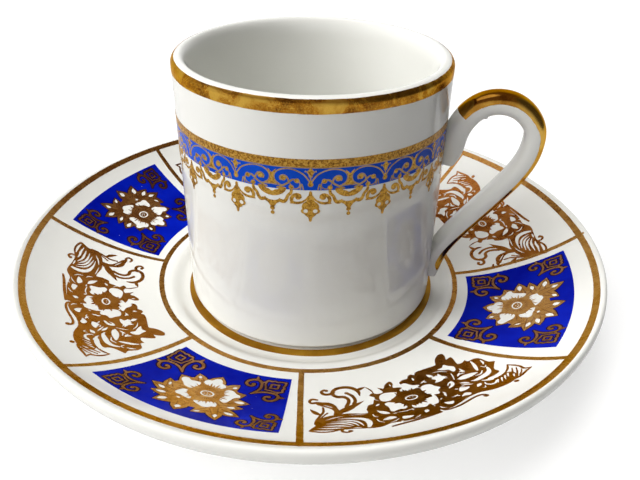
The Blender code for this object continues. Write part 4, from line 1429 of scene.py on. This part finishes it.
def frieze_unit(gap):
    """One repeat of the frieze, with a bare place where the handle's root stands if a gap is given."""
    art = Drawing()

    def band(paint, bottom, top, left=-HALF_UNIT, right=HALF_UNIT):
        art.shape(paint, [(left, bottom), (right, bottom), (right, top), (left, top)])

    band(CLEAR, FRIEZE_BOTTOM, FRIEZE_TOP)
    band(BLUE, BLUE_BOTTOM, GILT_BOTTOM)
    half = frieze_half()
    art.place(half)
    art.place(half, mirror=True)
    band(THIN, GILT_BOTTOM - 0.1, GILT_BOTTOM + 0.1)
    band(BAND, GILT_BOTTOM + 0.1, GILT_TOP)
    if gap is not None:
        band(CLEAR, FRIEZE_BOTTOM + 0.1, FRIEZE_TOP - 0.1, gap - ROOT_HALF, gap + ROOT_HALF)
    flat, layers = art.filled(1.0, ((-HALF_UNIT, FRIEZE_BOTTOM), (HALF_UNIT, FRIEZE_TOP)))
    for paint, triangles in layers.items():
        layers[paint] = [t for t in triangles if abs(flat[list(t), 0].mean()) < HALF_UNIT]
    return flat, layers


def make_frieze(gold, band, outline, enamel):
    """The frieze round the cup, its repeats joined at their edges into one layer of each paint."""
    girth = FRIEZE_UNITS * FRIEZE_PITCH
    plain = frieze_unit(None)
    nearest = round(-FRIEZE_FIRST / FRIEZE_PITCH)
    rooted = frieze_unit(-(FRIEZE_FIRST + nearest * FRIEZE_PITCH))
    number = {}
    points = []
    painted = {GOLD: [], BAND: [], THIN: [], BLUE: []}
    for unit in range(FRIEZE_UNITS):
        flat, layers = rooted if unit == nearest else plain
        renamed = {}
        for paint, triangles in layers.items():
            for triangle in triangles:
                for k in triangle:
                    if k not in renamed:
                        x = (flat[k, 0] + unit * FRIEZE_PITCH) % girth
                        key = (round(x, 3), round(flat[k, 1], 3))
                        if key not in number:
                            number[key] = len(points)
                            points.append((x + FRIEZE_FIRST, flat[k, 1]))
                        renamed[k] = number[key]
                corners = tuple(renamed[k] for k in triangle)
                if len(set(corners)) == 3:
                    painted[paint].append(corners)
    flat = np.array(points)
    along, shift = np.array(FRIEZE_SHIFT).T
    flat[:, 0] += np.interp(flat[:, 0] - FRIEZE_FIRST, along, shift, period=girth)
    for name, paint, material, slot, nodes in (
        ("frieze_band", BAND, band, "bright_gold", ("frieze_gilt_band",)),
        ("frieze_enamel", BLUE, enamel, "cobalt", ("frieze_blue_band",)),
        ("frieze_pendants", GOLD, gold, "bright_gold", ()),
        ("frieze_outlines", THIN, outline, "bright_gold", ()),
    ):
        new_piece(name, slab(flat, painted[paint], on_wall), (material,), "cup", slot, *nodes)


def make_cup(glaze, bisque, gold):
    """The cup, its handle and the gold band round its lip."""
    profile, bare = cup_profile()
    can = turned(profile, CUP_SEGMENTS, bare)
    new_piece("cup_can", can, (glaze, bisque), "cup", "porcelain", "cup_body")
    new_piece("cup_ear", lofted(handle_rings()), (glaze,), "cup", "porcelain", "cup_handle")

    start = math.asin((RIM_BAND[1] - LIP_HEIGHT) / LIP_RISE)
    curved = start * LIP_RISE
    upper = Wander(31, RIM_WANDER)
    lower = Wander(37, RIM_WANDER)

    def rim(u, v, depth):
        turn = 2 * math.pi * v
        begin = upper(turn)
        end = curved + LIP_HEIGHT - RIM_BAND[0] + lower(turn)
        run = begin + (end - begin) * u
        if run < curved:
            radius, height = lip_point(start - run / LIP_RISE, depth)
        else:
            height = LIP_HEIGHT - (run - curved)
            radius = wall_radius(height) + depth
        return (radius * math.cos(turn), radius * math.sin(turn), height)

    rim_band = strip(rim, RIM_COLUMNS, RING_STEPS, True)
    new_piece("rim_gilding", rim_band, (gold,), "cup", "bright_gold", "cup_rim_gilding")


def make_handle_stripe(gold):
    """Gold over the handle's outer face, narrower along the lower limb and drawn in at its end."""
    path = handle_path()
    last = len(path) - 1
    first_row, last_row = (round(share * last) for share in STRIPE_ENDS)
    edges = [Wander(seed, STRIPE_WANDER, (3, 7, 12, 19)) for seed in (51, 53)]

    def place(u, v, depth):
        row = round(first_row + (last_row - first_row) * v)
        fade = progress(v, *STRIPE_END_RUN)
        slim = progress(v, *STRIPE_SLIM_RUN) * (1.0 - progress(v, *STRIPE_WIDE_RUN))
        half = math.radians(STRIPE_HALF - STRIPE_SLIMMING * slim * slim * (3 - 2 * slim))
        half *= math.sqrt(1.0 - STRIPE_DRAWN_IN * fade ** 2)
        side = 2 * u - 1
        angle = side * half + edges[0 if side < 0 else 1](6 * v) * abs(side)
        return handle_point(path[row], row / last, angle, depth)

    stripe = strip(place, STRIPE_COLUMNS, last_row - first_row, False)
    new_piece("handle_stripe", stripe, (gold,), "cup", "bright_gold", "handle_gilding")


def make_floor():
    """A pale paper floor, which bounces more light near the object than further out."""
    mesh = bpy.data.meshes.new("floor")
    corners = [(x * FLOOR_HALF, y * FLOOR_HALF, 0) for x, y in ((-1, -1), (1, -1), (1, 1), (-1, 1))]
    mesh.from_pydata(corners, [], [(0, 1, 2, 3)])
    floor = bpy.data.objects.new("floor", mesh)
    bpy.context.scene.collection.objects.link(floor)

    paper = Finish("floor_paper")
    tree = paper.tree
    grain = paper.noise(8.0)

    def shade(low, high):
        return paper.ramp(grain, (0.3, (low, low, low)), (0.7, (high, high, high)))

    near = shade(*FLOOR_NEAR)
    far = shade(*FLOOR_FAR)
    distance = add_node(tree, "VectorMath", "Value", {0: paper.place}, operation="LENGTH")
    bounced = add_mix(tree, paper.span(distance, 0.0, 1.0, *FLOOR_FADE), near, far)
    camera, passed_on, seen = add_rays(tree)
    mirrored = add_math(tree, "MULTIPLY", passed_on, MIRRORED_GLOW)
    paper.feed("Base Color", add_mix(tree, seen, bounced, shade(*FLOOR_SEEN)))
    paper.feed("Emission Strength", add_math(tree, "MULTIPLY_ADD", camera, FLOOR_GLOW, mirrored))
    paper.set(Roughness=0.9, Specular_IOR_Level=0.0, Emission_Color=(*WHITE, 1.0))
    mesh.materials.append(paper.material)


def make_world():
    """White for the camera, a plain graded room for reflections, and a faint even light on the object."""
    world = bpy.data.worlds.new("studio")
    bpy.context.scene.world = world
    world.use_nodes = True
    tree = world.node_tree
    tree.nodes.clear()
    way = tree.nodes.new("ShaderNodeTexCoord").outputs["Generated"]

    def towards(direction, *stops):
        """A ramp over how closely a ray points in a direction."""
        facing = add_node(tree, "VectorMath", "Value", {0: way, 1: direction}, operation="DOT_PRODUCT")
        return add_ramp(tree, facing, *stops)

    side = towards(DARK_WAY, (0.42, BRIGHT_ROOM), (1.0, DARK_ROOM))
    overhead = towards((0.0, 0.0, 1.0), (0.46, BRIGHT_ROOM), (0.64, CEILING))
    window = towards(WINDOW_WAY, (0.925, BLACK), (0.96, WHITE))
    room = add_mix(tree, 1.0, add_mix(tree, 1.0, side, overhead, "DARKEN"), window, "ADD")
    camera, _, seen = add_rays(tree)
    view = add_mix(tree, camera, room, (*WHITE, 1.0))
    shown = add_node(tree, "Background", "Background", {"Color": view, "Strength": 1.0})
    lit = add_node(tree, "Background", "Background", {"Color": SKY_COLOUR, "Strength": SKY_LIGHT})
    both = add_node(tree, "MixShader", "Shader", {"Fac": seen, 1: lit, 2: shown})
    tree.links.new(both, tree.nodes.new("ShaderNodeOutputWorld").inputs["Surface"])


def make_lamps():
    """Soft lamps that reflections don't show. The low one is blocked by the cup alone."""
    for name, spot, power, colour in LAMPS:
        lamp = bpy.data.lights.new(name, "AREA")
        lamp.shape = "DISK"
        lamp.size = LAMP_SIZE
        lamp.energy = power
        lamp.color = colour
        holder = bpy.data.objects.new(name, lamp)
        holder.location = spot
        holder.rotation_euler = (LAMP_TARGET - Vector(spot)).to_track_quat("-Z", "Y").to_euler()
        holder.visible_glossy = False
        if name == LOW_LAMP:
            holder.light_linking.blocker_collection = cup_pieces
        bpy.context.scene.collection.objects.link(holder)


def make_camera():
    """The camera where the photograph was taken from."""
    ahead = Vector((
        math.sin(CAMERA_YAW) * math.cos(CAMERA_PITCH),
        math.cos(CAMERA_YAW) * math.cos(CAMERA_PITCH),
        -math.sin(CAMERA_PITCH),
    ))
    level = Vector((math.cos(CAMERA_YAW), -math.sin(CAMERA_YAW), 0.0))
    up = level.cross(ahead)
    right = level * math.cos(CAMERA_ROLL) + up * math.sin(CAMERA_ROLL)
    top = right.cross(ahead)
    data = bpy.data.cameras.new("camera")
    data.sensor_fit = "HORIZONTAL"
    data.sensor_width = CAMERA_SENSOR
    data.lens = CAMERA_LENS
    data.clip_start = CAMERA_NEAREST
    camera = bpy.data.objects.new("camera", data)
    turn = Matrix((right, top, -ahead)).transposed().to_4x4()
    camera.matrix_world = Matrix.Translation(Vector(CAMERA_SPOT) * MM) @ turn
    bpy.context.scene.collection.objects.link(camera)
    bpy.context.scene.camera = camera


def main():
    bpy.context.scene.view_settings.view_transform = "Standard"
    make_camera()
    make_floor()
    make_world()
    make_lamps()
    glaze = glaze_finish()
    bisque = bisque_finish()
    gold = {name: gold_finish(name, *values) for name, values in GOLDS.items()}
    enamel = {name: enamel_finish(name, *values) for name, values in ENAMELS.items()}
    make_saucer(glaze, bisque, gold["line_gold"], gold["ring_gold"])
    make_spokes(gold["line_gold"])
    make_panels(enamel["saucer_cobalt"], gold["rosette_gold"], gold["thin_gold"], enamel["outline_brown"])
    make_sprays(gold["spray_gold"])
    make_cup(glaze, bisque, gold["rim_gold"])
    make_frieze(gold["pendant_gold"], gold["frieze_gold"], gold["outline_gold"], enamel["frieze_cobalt"])
    make_handle_stripe(gold["handle_gold"])


main()
